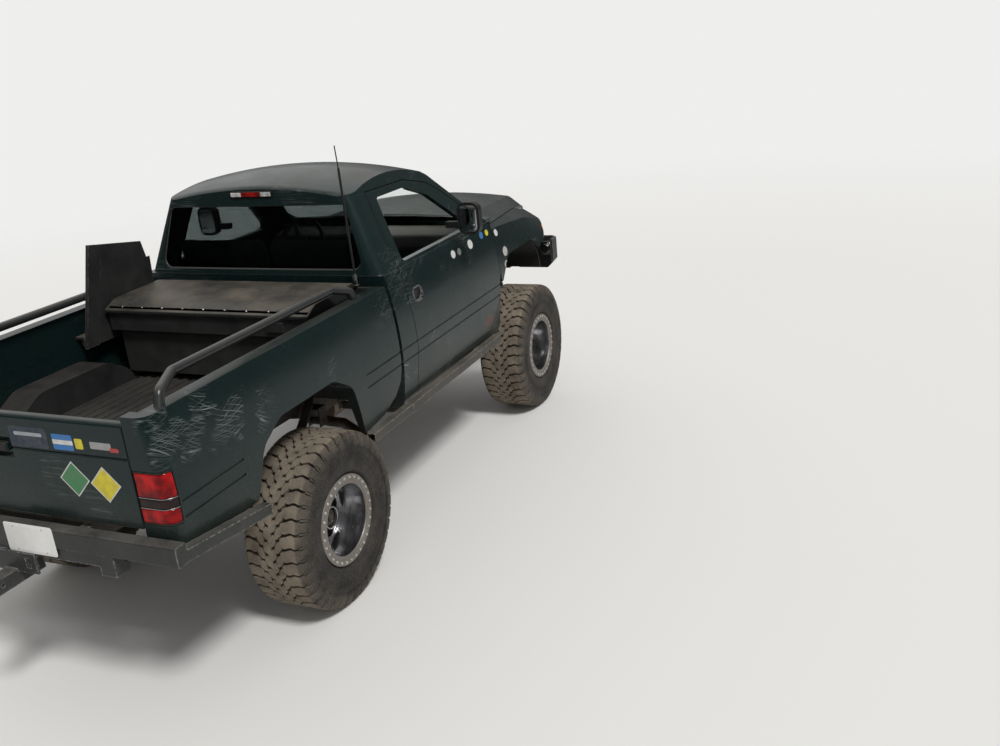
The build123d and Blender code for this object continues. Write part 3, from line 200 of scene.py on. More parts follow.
# Edges rub bare: where the rounded normal and the face's own normal part, broken by noise.
wear_group, given, results = shader_group(
    "Edge wear", [("Radius", 0.004), ("Amount", 0.5)], [("Mask", "NodeSocketFloat")])
soft = add(wear_group, "ShaderNodeBevel", {"Radius": given["Radius"]}, samples=4).outputs[0]
flat = add(wear_group, "ShaderNodeNewGeometry").outputs["Normal"]
parting = add(wear_group, "ShaderNodeVectorMath", {0: soft, 1: flat},
              operation="DOT_PRODUCT").outputs["Value"]
place = object_place(wear_group)
chips = noise(wear_group, place, 38.0, 6.0, 0.7)
edge = ramp(wear_group, calc(wear_group, "SUBTRACT", 1.0, parting), 0.01, 0.16)
chipped = ramp(wear_group, times(wear_group, edge, ramp(wear_group, chips, 0.35, 0.65)), 0.25, 0.6)
fill_in(wear_group, results, {"Mask": calc(wear_group, "MULTIPLY", chipped, given["Amount"], clamp=True)})


def group_in(tree, group, inputs):
    """A shader group placed in a material with its values."""
    return add(tree, "ShaderNodeGroup", inputs, node_tree=group).outputs


TAN_DUST = (0.27, 0.225, 0.17, 1)


def bumped(tree, height, strength, distance):
    """A bump's normal."""
    inputs = {"Height": height, "Strength": strength, "Distance": distance}
    return add(tree, "ShaderNodeBump", inputs).outputs[0]


def surface(tree, inputs):
    """Ends a material's tree in a Principled shader."""
    shader = add(tree, "ShaderNodeBsdfPrincipled", inputs)
    add(tree, "ShaderNodeOutputMaterial", {"Surface": shader.outputs[0]})


def weathered(name, colour, rough, metallic=0.0, mottle=0.25, dust=0.5, low=0.3, high=1.5, top=0.4,
              wear=0.3, worn=(0.22, 0.2, 0.18), grain=300.0, bump=0.12, dust_colour=TAN_DUST, shine=0.25,
              wear_reach=0.004):
    """A painted, plated or moulded finish with tonal drift, rubbed edges, fine grain and road dust."""
    material, tree = blank_material(name)
    space = object_place(tree)
    drift = noise(tree, space, 7.0, 8.0, 0.6)
    fine = noise(tree, space, grain, 3.0)
    dark = tuple(c * (1 - mottle) for c in colour[:3]) + (1,)
    light = tuple(min(1.0, c * (1 + mottle) + 0.01 * mottle) for c in colour[:3]) + (1,)
    tone = blend(tree, ramp(tree, drift, 0.3, 0.7), dark, light)
    dull = ramp(tree, drift, 0.3, 0.75, rough * 0.85, min(1.0, rough * 1.25))
    if wear:
        rubbed = group_in(tree, wear_group, {"Radius": wear_reach, "Amount": wear})["Mask"]
        tone = blend(tree, rubbed, tone, tuple(worn) + (1,))
    dusty = group_in(tree, dust_group, {"Color": tone, "Roughness": dull, "Dust": dust_colour, "Amount": dust,
                                        "Low": low, "High": high, "Top": top})
    uneven = plus(tree, times(tree, fine, 0.4), dusty["Height"])
    relief = bumped(tree, uneven, bump, 0.002)
    surface(tree, {"Base Color": dusty["Color"], "Roughness": dusty["Roughness"], "Normal": relief,
                   "Metallic": metallic, "Specular IOR Level": shine})
    return material


def cad_copy(*names, seams=()):
    """A merged copy of CAD nodes' meshes, flat faces whole again and no wall left in their seams."""
    mesh = bmesh.new()
    for node in names:
        mesh.from_mesh(nodes[node].data)
    if seams:
        walls = [face for face in mesh.faces if abs(face.normal.z) > 0.999
                 and any(abs(face.calc_center_median().z - height) < 5e-5 for height in seams)]
        bmesh.ops.delete(mesh, geom=walls, context="FACES_ONLY")
    bmesh.ops.remove_doubles(mesh, verts=mesh.verts, dist=2e-5)
    bmesh.ops.dissolve_limit(mesh, angle_limit=math.radians(0.5), verts=mesh.verts, edges=mesh.edges)
    return mesh


def settled(name, made):
    """A plain mesh from one that was being built, which is freed."""
    mesh = bpy.data.meshes.new(name)
    made.to_mesh(mesh)
    made.free()
    return mesh


def baked(obj):
    """The plain mesh that an object's modifiers make."""
    bpy.context.view_layer.update()
    return bpy.data.meshes.new_from_object(obj.evaluated_get(bpy.context.evaluated_depsgraph_get()))


def piece(name, made, material, body, replaced=(), rounding=0.0, smooth=35, segments=2):
    """One finished piece: its mesh, with rounded edges, on its body and in place of its CAD nodes."""
    if isinstance(made, bmesh.types.BMesh):
        mesh = settled(name, made)
    else:
        mesh = made
        mesh.name = name
    obj = linked(name, mesh)
    mesh.materials.clear()
    mesh.materials.append(material)
    mesh.shade_smooth()
    if rounding:
        edges = obj.modifiers.new("rounding", "BEVEL")
        edges.width = rounding
        edges.segments = segments
        edges.angle_limit = math.radians(28)
        obj.modifiers.new("shading", "WEIGHTED_NORMAL").weight = 50
        rounded = baked(obj)
        obj.modifiers.clear()
        obj.data = rounded
        rounded.name = name
        bpy.data.meshes.remove(mesh)
    else:
        mesh.set_sharp_from_angle(angle=math.radians(smooth))
    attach(obj, body)
    if replaced:
        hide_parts(*replaced)
    return obj


frame_paint = weathered("frame paint", (0.022, 0.021, 0.02), 0.55, dust=0.75, low=0.35, high=1.3, top=0.8,
                        wear=0.4, worn=(0.16, 0.1, 0.065))
piece("welded_frame", cad_copy("frame_rails", "cross_members"), frame_paint, "body",
      ["frame_rails", "cross_members"], 0.004)


# Driveline and underside tanks. A plain block stands for the engine with its gearbox and transfer case;
# tank, exhaust, shafts and radiator are bolted to the frame. Cast and plated finishes, dulled by dust.
def dress(node, material):
    """Gives a shown CAD node its finish."""
    for slot in nodes[node].material_slots:
        slot.material = material


cast_iron = weathered("cast iron", (0.05, 0.048, 0.045), 0.62, metallic=0.3, dust=0.6, high=1.5, wear=0.2,
                      grain=160, bump=0.3)
tank_steel = weathered("tank steel", (0.03, 0.03, 0.03), 0.5, dust=0.8, low=0.5, high=1.1, wear=0.35)
rusted_pipe = weathered("exhaust pipe", (0.16, 0.12, 0.095), 0.5, metallic=0.7, mottle=0.5, dust=0.5,
                        high=1.0, wear=0.2, worn=(0.3, 0.27, 0.24))
piece("engine_and_gearbox", cad_copy("engine_block"), cast_iron, "body", ["engine_block"],
      0.02, segments=3)
piece("radiator_core", cad_copy("radiator"), tank_steel, "body", ["radiator"], 0.004)
dress("fuel_tank", tank_steel)
dress("exhaust", rusted_pipe)


def turn_angles(count):
    """Equal steps of angle round a whole turn."""
    return [2 * math.pi * i / count for i in range(count)]


def rod_mesh(mesh, start, end, radius, end_radius=None, sides=20):
    """Adds a round bar, straight or tapered, between two points."""
    start, end = Vector(start), Vector(end)
    along = (end - start).normalized()
    side = along.cross((0, 0, 1) if abs(along.z) < 0.9 else (1, 0, 0)).normalized()
    other = along.cross(side)
    rings = []
    for point, size in ((start, radius), (end, radius if end_radius is None else end_radius)):
        rings.append([mesh.verts.new(point + size * (math.cos(a) * side + math.sin(a) * other))
                      for a in turn_angles(sides)])
    for i in range(sides):
        j = (i + 1) % sides
        mesh.faces.new((rings[0][i], rings[1][i], rings[1][j], rings[0][j]))
    mesh.faces.new(rings[0])
    mesh.faces.new(reversed(rings[1]))


def fixed(mesh):
    """The same mesh with its doubles merged and all its faces pointing outwards."""
    bmesh.ops.remove_doubles(mesh, verts=mesh.verts, dist=1e-6)
    bmesh.ops.recalc_face_normals(mesh, faces=mesh.faces)
    return mesh


shafts = bmesh.new()
for start, end, radius in (((-0.999, 0, 0.51), (0.413, 0, 0.845), 0.036),
                           ((1.473, 0.25, 0.52), (0.819, 0.25, 0.79), 0.026)):
    start, end = Vector(start), Vector(end)
    run = end - start
    rod_mesh(shafts, start + run * 0.08, start + run * 0.78, radius)
    rod_mesh(shafts, start + run * 0.74, start + run * 0.9, radius * 0.72)
    for share, size in ((0.02, 1.02), (0.075, 1.05), (0.13, 1.04), (0.76, 1.12), (0.9, 1.0), (0.96, 1.05)):
        rod_mesh(shafts, start + run * (share - 0.012), start + run * (share + 0.012), radius * size)
    for share in (0.05, 0.93):
        middle = start + run * share
        rod_mesh(shafts, start + run * (share - 0.02), start + run * (share + 0.02), radius * 0.55)
        rod_mesh(shafts, middle + Vector((0, -0.85 * radius, 0)), middle + Vector((0, 0.85 * radius, 0)),
                 radius * 0.36)
shaft_paint = weathered("shaft paint", (0.045, 0.043, 0.04), 0.5, metallic=0.4, dust=0.6, high=1.0, wear=0.5)
piece("prop_shafts", fixed(shafts), shaft_paint, "body", ["drive_shafts"], 0.0)

# Axles and suspension arms. Cast and welded steel housings with drums, yokes and links, painted black
# and caked with dust. They keep their solids' shape with softened edges.
axle_paint = weathered("axle paint", (0.03, 0.029, 0.028), 0.5, dust=0.85, low=0.25, high=0.9, top=0.6,
                       wear=0.45, worn=(0.2, 0.14, 0.1), grain=200, bump=0.25)
piece("rear_axle_housing", cad_copy("rear_axle"), axle_paint, "body", ["rear_axle"], 0.004)
piece("front_axle_housing", cad_copy("front_axle"), axle_paint, "body", ["front_axle"], 0.004)
piece("radius_arms", cad_copy("front_links"), axle_paint, "body", ["front_links"], 0.003)


# Coil springs of the front axle. Seven turns of thick painted wire between flat seats, with a bump
# stop inside: a helix made by a node tree, one for each side.
def geometry_tree(name, sockets):
    """An empty Geometry Nodes tree with named inputs, and its inner ends."""
    tree = bpy.data.node_groups.new(name, "GeometryNodeTree")
    tree.interface.new_socket("Geometry", in_out="INPUT", socket_type="NodeSocketGeometry")
    for label, kind, value in sockets:
        made = tree.interface.new_socket(label, in_out="INPUT", socket_type=kind)
        if value is not None:
            made.default_value = value
    tree.interface.new_socket("Geometry", in_out="OUTPUT", socket_type="NodeSocketGeometry")
    return tree, tree.nodes.new("NodeGroupInput").outputs, tree.nodes.new("NodeGroupOutput").inputs


def close_tree(tree, geometry, material, result):
    """Ends a tree in real geometry with its material."""
    real = add(tree, "GeometryNodeRealizeInstances", {0: geometry}).outputs[0]
    tree.links.new(add(tree, "GeometryNodeSetMaterial", {0: real, "Material": material}).outputs[0],
                   result[0])


def grown(mesh, tree, values):
    """The plain mesh that a tree makes of a mesh, with the tree's inputs set by name."""
    obj = linked("making", mesh)
    modifier = obj.modifiers.new("making", "NODES")
    modifier.node_group = tree
    for item in tree.interface.items_tree:
        if item.item_type == "SOCKET" and item.in_out == "INPUT" and item.name in values:
            modifier[item.identifier] = values[item.name]
    made = baked(obj)
    bpy.data.objects.remove(obj)
    return made


coil_tree, given, results = geometry_tree(
    "Coil spring", [("Turns", "NodeSocketFloat", 7.0), ("Radius", "NodeSocketFloat", 0.058),
                    ("Height", "NodeSocketFloat", 0.25), ("Wire", "NodeSocketFloat", 0.009),
                    ("Material", "NodeSocketMaterial", None)])
helix = add(coil_tree, "GeometryNodeCurveSpiral", {"Resolution": 40, "Rotations": given["Turns"],
                                                   "Start Radius": given["Radius"],
                                                   "End Radius": given["Radius"], "Height": given["Height"]})
wire = add(coil_tree, "GeometryNodeCurvePrimitiveCircle", {"Resolution": 12, "Radius": given["Wire"]})
tube = add(coil_tree, "GeometryNodeCurveToMesh", {"Curve": helix.outputs[0], "Profile Curve": wire.outputs[0],
                                                  "Fill Caps": True})
close_tree(coil_tree, tube.outputs[0], given["Material"], results)

FRONT_AXLE_X = 1.741
coil_paint = weathered("coil paint", (0.03, 0.03, 0.032), 0.4, dust=0.5, high=1.0, wear=0.3)
coils = bmesh.new()
for side in (-1, 1):
    spring = grown(bpy.data.meshes.new("spring"), coil_tree, {"Height": 0.246, "Material": coil_paint})
    seat = (FRONT_AXLE_X, side * 0.48)
    spring.transform(Matrix.Translation((*seat, 0.557)))
    coils.from_mesh(spring)
    rod_mesh(coils, (*seat, 0.549), (*seat, 0.64), 0.026, 0.02)
    rod_mesh(coils, (*seat, 0.74), (*seat, 0.811), 0.024, 0.03)
piece("coil_springs", coils, coil_paint, "body", ["front_springs"], smooth=50)

# Leaf springs of the rear axle. Five tapered leaves a side, clamped to the axle by two U-bolts and
# hung from brackets at both ends, where the longest leaf is rolled into an eye.
REAR_AXLE_X = -1.275
leaf_steel = weathered("leaf steel", (0.04, 0.036, 0.033), 0.55, metallic=0.3, dust=0.7, high=1.0, wear=0.4,
                       worn=(0.2, 0.12, 0.08))


def leaf_height(x):
    """The spring's centre line: height over the ground at a distance from the axle."""
    return 0.576 + (0.84 * x * x / 0.9 if x > 0 else 0.52 * x * x)


def slab(mesh, low, high):
    """Adds a box between two corners."""
    corners = [mesh.verts.new((x, y, z)) for x in (low[0], high[0]) for y in (low[1], high[1])
               for z in (low[2], high[2])]
    for face in ((0, 1, 3, 2), (4, 6, 7, 5), (0, 4, 5, 1), (2, 3, 7, 6), (0, 2, 6, 4), (1, 5, 7, 3)):
        mesh.faces.new([corners[i] for i in face])


leaves = bmesh.new()
for side in (-1, 1):
    for layer, reach_back, reach_front in ((0, 0.66, 0.64), (1, 0.6, 0.57), (2, 0.48, 0.45), (3, 0.36, 0.34),
                                           (4, 0.22, 0.21)):
        sections = []
        for step in range(25):
            x = -reach_back + (reach_back + reach_front) * step / 24
            rise = leaf_height(x) + 0.012 - 0.0105 * layer
            half = 0.03 if 0 < step < 24 else 0.024
            sections.append([leaves.verts.new((x + REAR_AXLE_X, side * 0.5 + dy, rise + dz))
                             for dy, dz in ((-half, 0), (half, 0), (half, -0.0085), (-half, -0.0085))])
        for first, second in zip(sections, sections[1:]):
            for i in range(4):
                j = (i + 1) % 4
                leaves.faces.new((first[i], first[j], second[j], second[i]))
        leaves.faces.new(sections[0])
        leaves.faces.new(reversed(sections[-1]))
    for x, z in ((REAR_AXLE_X + 0.65, 0.766), (REAR_AXLE_X - 0.67, 0.786)):
        rod_mesh(leaves, (x, side * 0.468, z), (x, side * 0.532, z), 0.022)
        rod_mesh(leaves, (x, side * 0.456, z), (x, side * 0.548, z), 0.009)
    for x, low, high in ((0.65, 0.74, 0.85), (-0.67, 0.76, 0.885)):
        for y in sorted((side * 0.455, side * 0.463)), sorted((side * 0.536, side * 0.544)):
            slab(leaves, (x - 1.312, y[0], low), (x - 1.238, y[1], high))
        slab(leaves, (x - 1.315, min(side * 0.455, side * 0.544), high),
             (x - 1.235, max(side * 0.455, side * 0.544), high + 0.011))
    for x in (REAR_AXLE_X - 0.062, REAR_AXLE_X + 0.062):
        for y in (0.463, 0.537):
            rod_mesh(leaves, (x, side * y, 0.40), (x, side * y, 0.622), 0.0065, sides=10)
            rod_mesh(leaves, (x, side * y, 0.406), (x, side * y, 0.418), 0.012, sides=6)
        rod_mesh(leaves, (x, side * 0.463, 0.617), (x, side * 0.537, 0.617), 0.0065, sides=10)
    slab(leaves, (-1.36, side * 0.5 - 0.047, 0.418), (-1.19, side * 0.5 + 0.047, 0.43))
    slab(leaves, (-1.35, side * 0.5 - 0.034, 0.588), (-1.2, side * 0.5 + 0.034, 0.606))
piece("leaf_springs", fixed(leaves), leaf_steel, "body", ["rear_springs"], smooth=30)

# Shock absorbers: a painted tube below, a dust sleeve above and a bright rod between, with an eye and
# bush at each end. One at each wheel, leaning as the real ones do.
shock_paint = weathered("shock paint", (0.55, 0.56, 0.56), 0.35, mottle=0.15, dust=0.55, high=1.2, wear=0.3,
                        worn=(0.2, 0.2, 0.2))
shocks = bmesh.new()
for low, high in (((-1.395, 0.59, 0.47), (-1.45, 0.5, 0.878)), ((1.631, 0.59, 0.48), (1.591, 0.5, 0.9))):
    for side in (-1, 1):
        bottom, top = [Vector((x, side * y, z)) for x, y, z in (low, high)]
        run = top - bottom
        rod_mesh(shocks, bottom + run * 0.05, bottom + run * 0.58, 0.028, sides=24)
        rod_mesh(shocks, bottom + run * 0.55, bottom + run * 0.94, 0.0185, sides=16)
        rod_mesh(shocks, bottom + run * 0.66, bottom + run * 0.95, 0.0235, sides=24)
        for end in (bottom + run * 0.03, bottom + run * 0.97):
            rod_mesh(shocks, end + Vector((-0.022, 0, 0)), end + Vector((0.022, 0, 0)), 0.02, sides=20)
piece("shock_tubes", fixed(shocks), shock_paint, "body", ["shock_absorbers"], smooth=40)


# Tyres. Mud tyres of 0.98 m: a bulging carcass with ribbed sidewalls, broad wavy shoulder bars that wrap
# down the side past narrow grooves, and interlocked blocks between them, forty of each in a turn.
def turned(mesh, profile, sides=120):
    """Turns a (y, radius) profile about the Y axis, with the turn and the profile's length as UV."""
    uv = mesh.loops.layers.uv.verify()
    rows = profile + profile[:1]
    rings = []
    for y, radius in profile:
        rings.append([mesh.verts.new((radius * math.cos(a), y, radius * math.sin(a)))
                      for a in turn_angles(sides)])
    rings.append(rings[0])
    length = 0.0
    for k in range(len(rings) - 1):
        step = math.hypot(rows[k + 1][0] - rows[k][0], rows[k + 1][1] - rows[k][1])
        for i in range(sides):
            j = (i + 1) % sides
            face = mesh.faces.new((rings[k][i], rings[k][j], rings[k + 1][j], rings[k + 1][i]))
            for loop, (u, v) in zip(face.loops, ((i, length), (i + 1, length), (i + 1, length + step),
                                                 (i, length + step))):
                loop[uv].uv = (u / sides, v)
        length += step
    return mesh


TYRE_SIDE = [(0.0, 0.466), (0.06, 0.466), (0.12, 0.465), (0.145, 0.461), (0.158, 0.453), (0.167, 0.44),
             (0.1725, 0.424), (0.176, 0.405), (0.1775, 0.385), (0.1778, 0.377), (0.1793, 0.376),
             (0.1796, 0.372), (0.1796, 0.335), (0.1793, 0.331), (0.1772, 0.33), (0.1755, 0.315),
             (0.1725, 0.3), (0.1705, 0.289), (0.1708, 0.286), (0.1715, 0.28), (0.1695, 0.272),
             (0.163, 0.2655), (0.1515, 0.2615), (0.1475, 0.255), (0.144, 0.243), (0.138, 0.2245),
             (0.122, 0.2235), (0.124, 0.26), (0.13, 0.33), (0.128, 0.4), (0.11, 0.438), (0.06, 0.448),
             (0.0, 0.449)]
tyre_profile = TYRE_SIDE[:-1] + [(-y, r) for y, r in reversed(TYRE_SIDE[1:-1])]
tyre_profile.insert(len(TYRE_SIDE) - 1, (0.0, 0.449))
BARS_IN_A_TURN = 40


def bar(stations):
    """One tread bar from stations across it: y, top and root radius, middle and half width in pitches."""
    mesh = bmesh.new()
    rings = []
    pitch = 2 * math.pi / BARS_IN_A_TURN
    for y, top, root, middle, half in stations:
        shoulder = 0.0016
        ring = []
        for radius, across in ((root, -half - 0.02), (top - shoulder, -half), (top, -half + 0.022),
                               (top, half - 0.022), (top - shoulder, half), (root, half + 0.02)):
            angle = -math.pi / 2 + pitch * (middle + across)
            ring.append(mesh.verts.new((radius * math.cos(angle), y, radius * math.sin(angle))))
        rings.append(ring)
    for first, second in zip(rings, rings[1:]):
        for i in range(5):
            mesh.faces.new((first[i], first[i + 1], second[i + 1], second[i]))
    mesh.faces.new(reversed(rings[0]))
    mesh.faces.new(rings[-1])
    return fixed(mesh)


# The outer side's bars. The inner side's are their mirror, on the other phase.
shoulder_bar = [(0.064, 0.4888, 0.462, -0.02, 0.16), (0.067, 0.49, 0.462, 0.0, 0.22),
                (0.078, 0.49, 0.462, 0.09, 0.36), (0.092, 0.49, 0.462, 0.11, 0.4),
                (0.105, 0.49, 0.462, 0.05, 0.41), (0.119, 0.49, 0.462, -0.03, 0.41),
                (0.133, 0.4895, 0.46, -0.04, 0.415), (0.147, 0.4878, 0.456, 0.03, 0.415),
                (0.157, 0.4835, 0.45, 0.06, 0.41), (0.1625, 0.4765, 0.445, 0.05, 0.38),
                (0.1665, 0.468, 0.44, 0.05, 0.33), (0.1705, 0.459, 0.432, 0.02, 0.33),
                (0.176, 0.437, 0.42, 0.0, 0.38), (0.1785, 0.421, 0.408, 0.0, 0.36),
                (0.1782, 0.409, 0.402, 0.0, 0.3)]
notch_bar = [(0.1655, 0.4665, 0.444, 0.5, 0.05), (0.17, 0.458, 0.434, 0.5, 0.07),
             (0.176, 0.4365, 0.415, 0.5, 0.07), (0.1782, 0.412, 0.4, 0.5, 0.05)]
inner_block = [(0.034, 0.489, 0.462, 0.63, 0.2), (0.036, 0.49, 0.462, 0.64, 0.28),
               (0.048, 0.49, 0.462, 0.52, 0.4), (0.06, 0.49, 0.462, 0.42, 0.37),
               (0.07, 0.49, 0.462, 0.44, 0.2), (0.074, 0.489, 0.462, 0.46, 0.1)]
centre_bar = [(-0.008, 0.489, 0.462, 0.3, 0.2), (-0.005, 0.49, 0.462, 0.28, 0.27),
              (0.008, 0.49, 0.462, 0.18, 0.38), (0.022, 0.49, 0.462, 0.06, 0.4),
              (0.032, 0.49, 0.462, 0.05, 0.3), (0.036, 0.489, 0.462, 0.06, 0.2)]

ring_tree, given, results = geometry_tree(
    "Ring of pieces", [("Count", "NodeSocketInt", 30), ("Phase", "NodeSocketFloat", 0.0),
                       ("Material", "NodeSocketMaterial", None)])
spots = add(ring_tree, "GeometryNodeMeshLine", {"Count": given["Count"], "Offset": (0, 0, 0)})
step = calc(ring_tree, "DIVIDE", plus(ring_tree, add(ring_tree, "GeometryNodeInputIndex").outputs[0],
                                      given["Phase"]), given["Count"])
angle = add(ring_tree, "ShaderNodeCombineXYZ", {"Y": times(ring_tree, step, 2 * math.pi)})
copies = add(ring_tree, "GeometryNodeInstanceOnPoints",
             {"Points": spots.outputs[0], "Instance": given["Geometry"], "Rotation": angle.outputs[0]})
close_tree(ring_tree, copies.outputs[0], given["Material"], results)


def ring_of(mesh, count, phase, material):
    """A mesh repeated round the Y axis."""
    if isinstance(mesh, bmesh.types.BMesh):
        mesh = settled("single", mesh)
    return grown(mesh, ring_tree, {"Count": count, "Phase": phase, "Material": material})


# Rubber: near black, with tan dust in the grooves and on the shoulders, dull and finely pitted.
rubber, tree = blank_material("tyre rubber")
place = add(tree, "ShaderNodeTexCoord")
clouds = noise(tree, place.outputs["Object"], 9.0, 8.0, 0.65)
specks = noise(tree, place.outputs["Object"], 160.0, 4.0, 0.7)
across = add(tree, "ShaderNodeAttribute", attribute_name="caked").outputs["Fac"]
cake = plus(tree, times(tree, across, ramp(tree, clouds, 0.3, 0.62, 0.45, 1.0)),
            ramp(tree, specks, 0.45, 0.8, -0.2, 0.25))
cake = calc(tree, "MULTIPLY", cake, 0.85, clamp=True)
tone = blend(tree, cake, blend(tree, ramp(tree, clouds, 0.3, 0.7), (0.014, 0.0135, 0.013, 1),
                               (0.035, 0.032, 0.029, 1)), (0.235, 0.195, 0.148, 1))
relief = bumped(tree, plus(tree, specks, times(tree, clouds, 0.6)), 0.25, 0.002)
surface(tree, {"Base Color": tone, "Roughness": ramp(tree, cake, 0.0, 1.0, 0.62, 0.95), "Normal": relief,
               "Specular IOR Level": 0.2})

WHEEL_CENTRES = {f"{end}_{side}": (x, y, 0.49)
                 for end, x in (("rear", REAR_AXLE_X), ("front", FRONT_AXLE_X))
                 for side, y in (("left", 0.9), ("right", -0.9))}


def flipped(mesh):
    """A mesh mirrored to the other side of the XZ plane, facing outwards again."""
    mesh.transform(Matrix.Scale(-1, 4, (0, 1, 0)))
    mesh.flip_normals()
    return mesh


carcass = settled("carcass", fixed(turned(bmesh.new(), tyre_profile)))
rib = bmesh.new()
slab(rib, (-0.004, 0.1770, 0.338), (0.004, 0.1815, 0.369))
tread = [bar(shoulder_bar), bar(notch_bar), bar(inner_block), bar(centre_bar)]
outer_bars = [ring_of(made, BARS_IN_A_TURN, 0.0, rubber) for made in tread]
ribs = ring_of(rib, 90, 0.0, rubber)
for label, centre in WHEEL_CENTRES.items():
    tyre = bmesh.new()
    tyre.from_mesh(carcass)
    for made in outer_bars + [ribs]:
        tyre.from_mesh(made)
        other = flipped(made.copy())
        other.transform(Matrix.Rotation(math.pi / BARS_IN_A_TURN, 4, "Y"))
        tyre.from_mesh(other)
        bpy.data.meshes.remove(other)
    mesh = settled("tyre", tyre)
    caked = mesh.attributes.new("caked", "FLOAT", "POINT")
    for vertex in mesh.vertices:
        radius = math.hypot(vertex.co.x, vertex.co.z)
        groove = 0.3 if radius < 0.468 and abs(vertex.co.y) < 0.15 and radius > 0.45 else 0.0
        top = 1.15 if radius > 0.487 else 0.0
        flank = min(1.0, max(0.0, (radius - 0.36) / 0.1)) * 0.55
        caked.data[vertex.index].value = max(groove, top, flank, 0.22)
    mesh.transform(Matrix.Translation(centre))
    piece(f"mud_tyre_{label}", mesh, rubber, f"wheel_{label}", [f"tyre_{label}"], smooth=32)
for made in outer_bars + [ribs, carcass]:
    bpy.data.meshes.remove(made)

# Wheels. Polished deep-dish aluminium with a bolted clamp ring round the bead, six round windows in
# the disc far inside, five lug nuts and an open hub with a dark cap in it.
lathe_group, given, results = shader_group(
    "Lathe lines", [("Fineness", 900.0)], [("Height", "NodeSocketFloat"), ("Streak", "NodeSocketFloat")])
place = add(lathe_group, "ShaderNodeTexCoord").outputs["UV"]
parts = add(lathe_group, "ShaderNodeSeparateXYZ", {0: place})
stretched = add(lathe_group, "ShaderNodeCombineXYZ", {"X": times(lathe_group, parts.outputs[0], 3.0),
                                                      "Y": times(lathe_group, parts.outputs[1],
                                                                 given["Fineness"])})
fill_in(lathe_group, results, {
    "Height": noise(lathe_group, stretched.outputs[0], 1.0, 3.0),
    "Streak": noise(lathe_group, stretched.outputs[0], 0.12, 5.0)})


def wheel_metal(name, colour, rough, grime, lines):
    """Bare aluminium with lathe lines, water marks and brown grime."""
    material, tree = blank_material(name)
    space = object_place(tree)
    marks = noise(tree, space, 14.0, 9.0, 0.68)
    turning = group_in(tree, lathe_group, {"Fineness": 900.0})
    soil = calc(tree, "MULTIPLY", ramp(tree, marks, 0.5 - 0.25 * grime, 0.78), grime, clamp=True)
    tone = blend(tree, soil, tuple(colour) + (1,), (0.2, 0.16, 0.12, 1))
    dull = plus(tree, ramp(tree, turning["Streak"], 0.35, 0.65, rough * 0.8, rough * 1.3),
                times(tree, soil, 0.5))
    relief = bumped(tree, turning["Height"], lines, 0.0005)
    surface(tree, {"Base Color": tone, "Roughness": dull, "Normal": relief,
                   "Metallic": ramp(tree, soil, 0.0, 1.0, 1.0, 0.35)})
    return material


polished = wheel_metal("polished aluminium", (0.44, 0.44, 0.45), 0.2, 0.08, 0.3)
ring_metal = wheel_metal("clamp ring metal", (0.27, 0.26, 0.245), 0.36, 0.8, 0.15)
bright_bolt = weathered("bright bolts", (0.62, 0.61, 0.6), 0.3, metallic=1.0, dust=0.2, high=1.0, wear=0.0,
                        mottle=0.2)
hub_black = weathered("hub black", (0.012, 0.012, 0.012), 0.45, dust=0.3, high=1.0, wear=0.2)

bolt_shape = bmesh.new()
rod_mesh(bolt_shape, (0, 0, 0), (0, 0, 0.12), 0.62, sides=16)
rod_mesh(bolt_shape, (0, 0, 0.12), (0, 0, 0.42), 0.5, sides=6)
rod_mesh(bolt_shape, (0, 0, 0.42), (0, 0, 0.5), 0.5, 0.4, sides=6)
bolt_head = bpy.data.objects.new("bolt head", settled("bolt head", fixed(bolt_shape)))

bolt_tree, given, results = geometry_tree(
    "Bolt heads", [("Head", "NodeSocketObject", None), ("Size", "NodeSocketFloat", 0.012),
                   ("Material", "NodeSocketMaterial", None)])
facing = add(bolt_tree, "GeometryNodeInputNamedAttribute", {"Name": "facing"}, data_type="FLOAT_VECTOR")
aligned = add(bolt_tree, "FunctionNodeAlignRotationToVector", {"Vector": facing.outputs[0]}, axis="Z")
head = add(bolt_tree, "GeometryNodeObjectInfo", {"Object": given["Head"]})
heads = add(bolt_tree, "GeometryNodeInstanceOnPoints",
            {"Points": given["Geometry"], "Instance": head.outputs["Geometry"],
             "Rotation": aligned.outputs[0],
             "Scale": add(bolt_tree, "ShaderNodeCombineXYZ",
                          {0: given["Size"], 1: given["Size"], 2: given["Size"]}).outputs[0]})
close_tree(bolt_tree, heads.outputs[0], given["Material"], results)


def bolt_heads(spots, size, material):
    """Hexagon heads with washers at (point, facing) places, across-corners size in metres."""
    mesh = bpy.data.meshes.new("places")
    mesh.from_pydata([tuple(point) for point, _ in spots], [], [])
    facing = mesh.attributes.new("facing", "FLOAT_VECTOR", "POINT")
    for i, (_, way) in enumerate(spots):
        facing.data[i].vector = way
    return grown(mesh, bolt_tree, {"Head": bolt_head, "Size": size, "Material": material})


def plate(outline, holes, thickness, rounding=0.001):
    """A flat plate in the XY plane with round holes, its edges rounded, as a mesh."""
    flat = bpy.data.curves.new("flat", "CURVE")
    flat.dimensions = "2D"
    flat.fill_mode = "BOTH"
    flat.extrude = thickness / 2 - rounding
    flat.bevel_depth = rounding
    flat.bevel_resolution = 1
    flat.offset = -rounding
    loops = [outline] + [[(x + r * math.cos(a), y + r * math.sin(a)) for a in turn_angles(32)]
                         for x, y, r in holes]
    for loop in loops:
        spline = flat.splines.new("POLY")
        spline.points.add(len(loop) - 1)
        for point, (x, y) in zip(spline.points, loop):
            point.co = (x, y, 0, 1)
        spline.use_cyclic_u = True
    carrier = linked("flat", flat)
    made = baked(carrier)
    bpy.data.objects.remove(carrier)
    return made


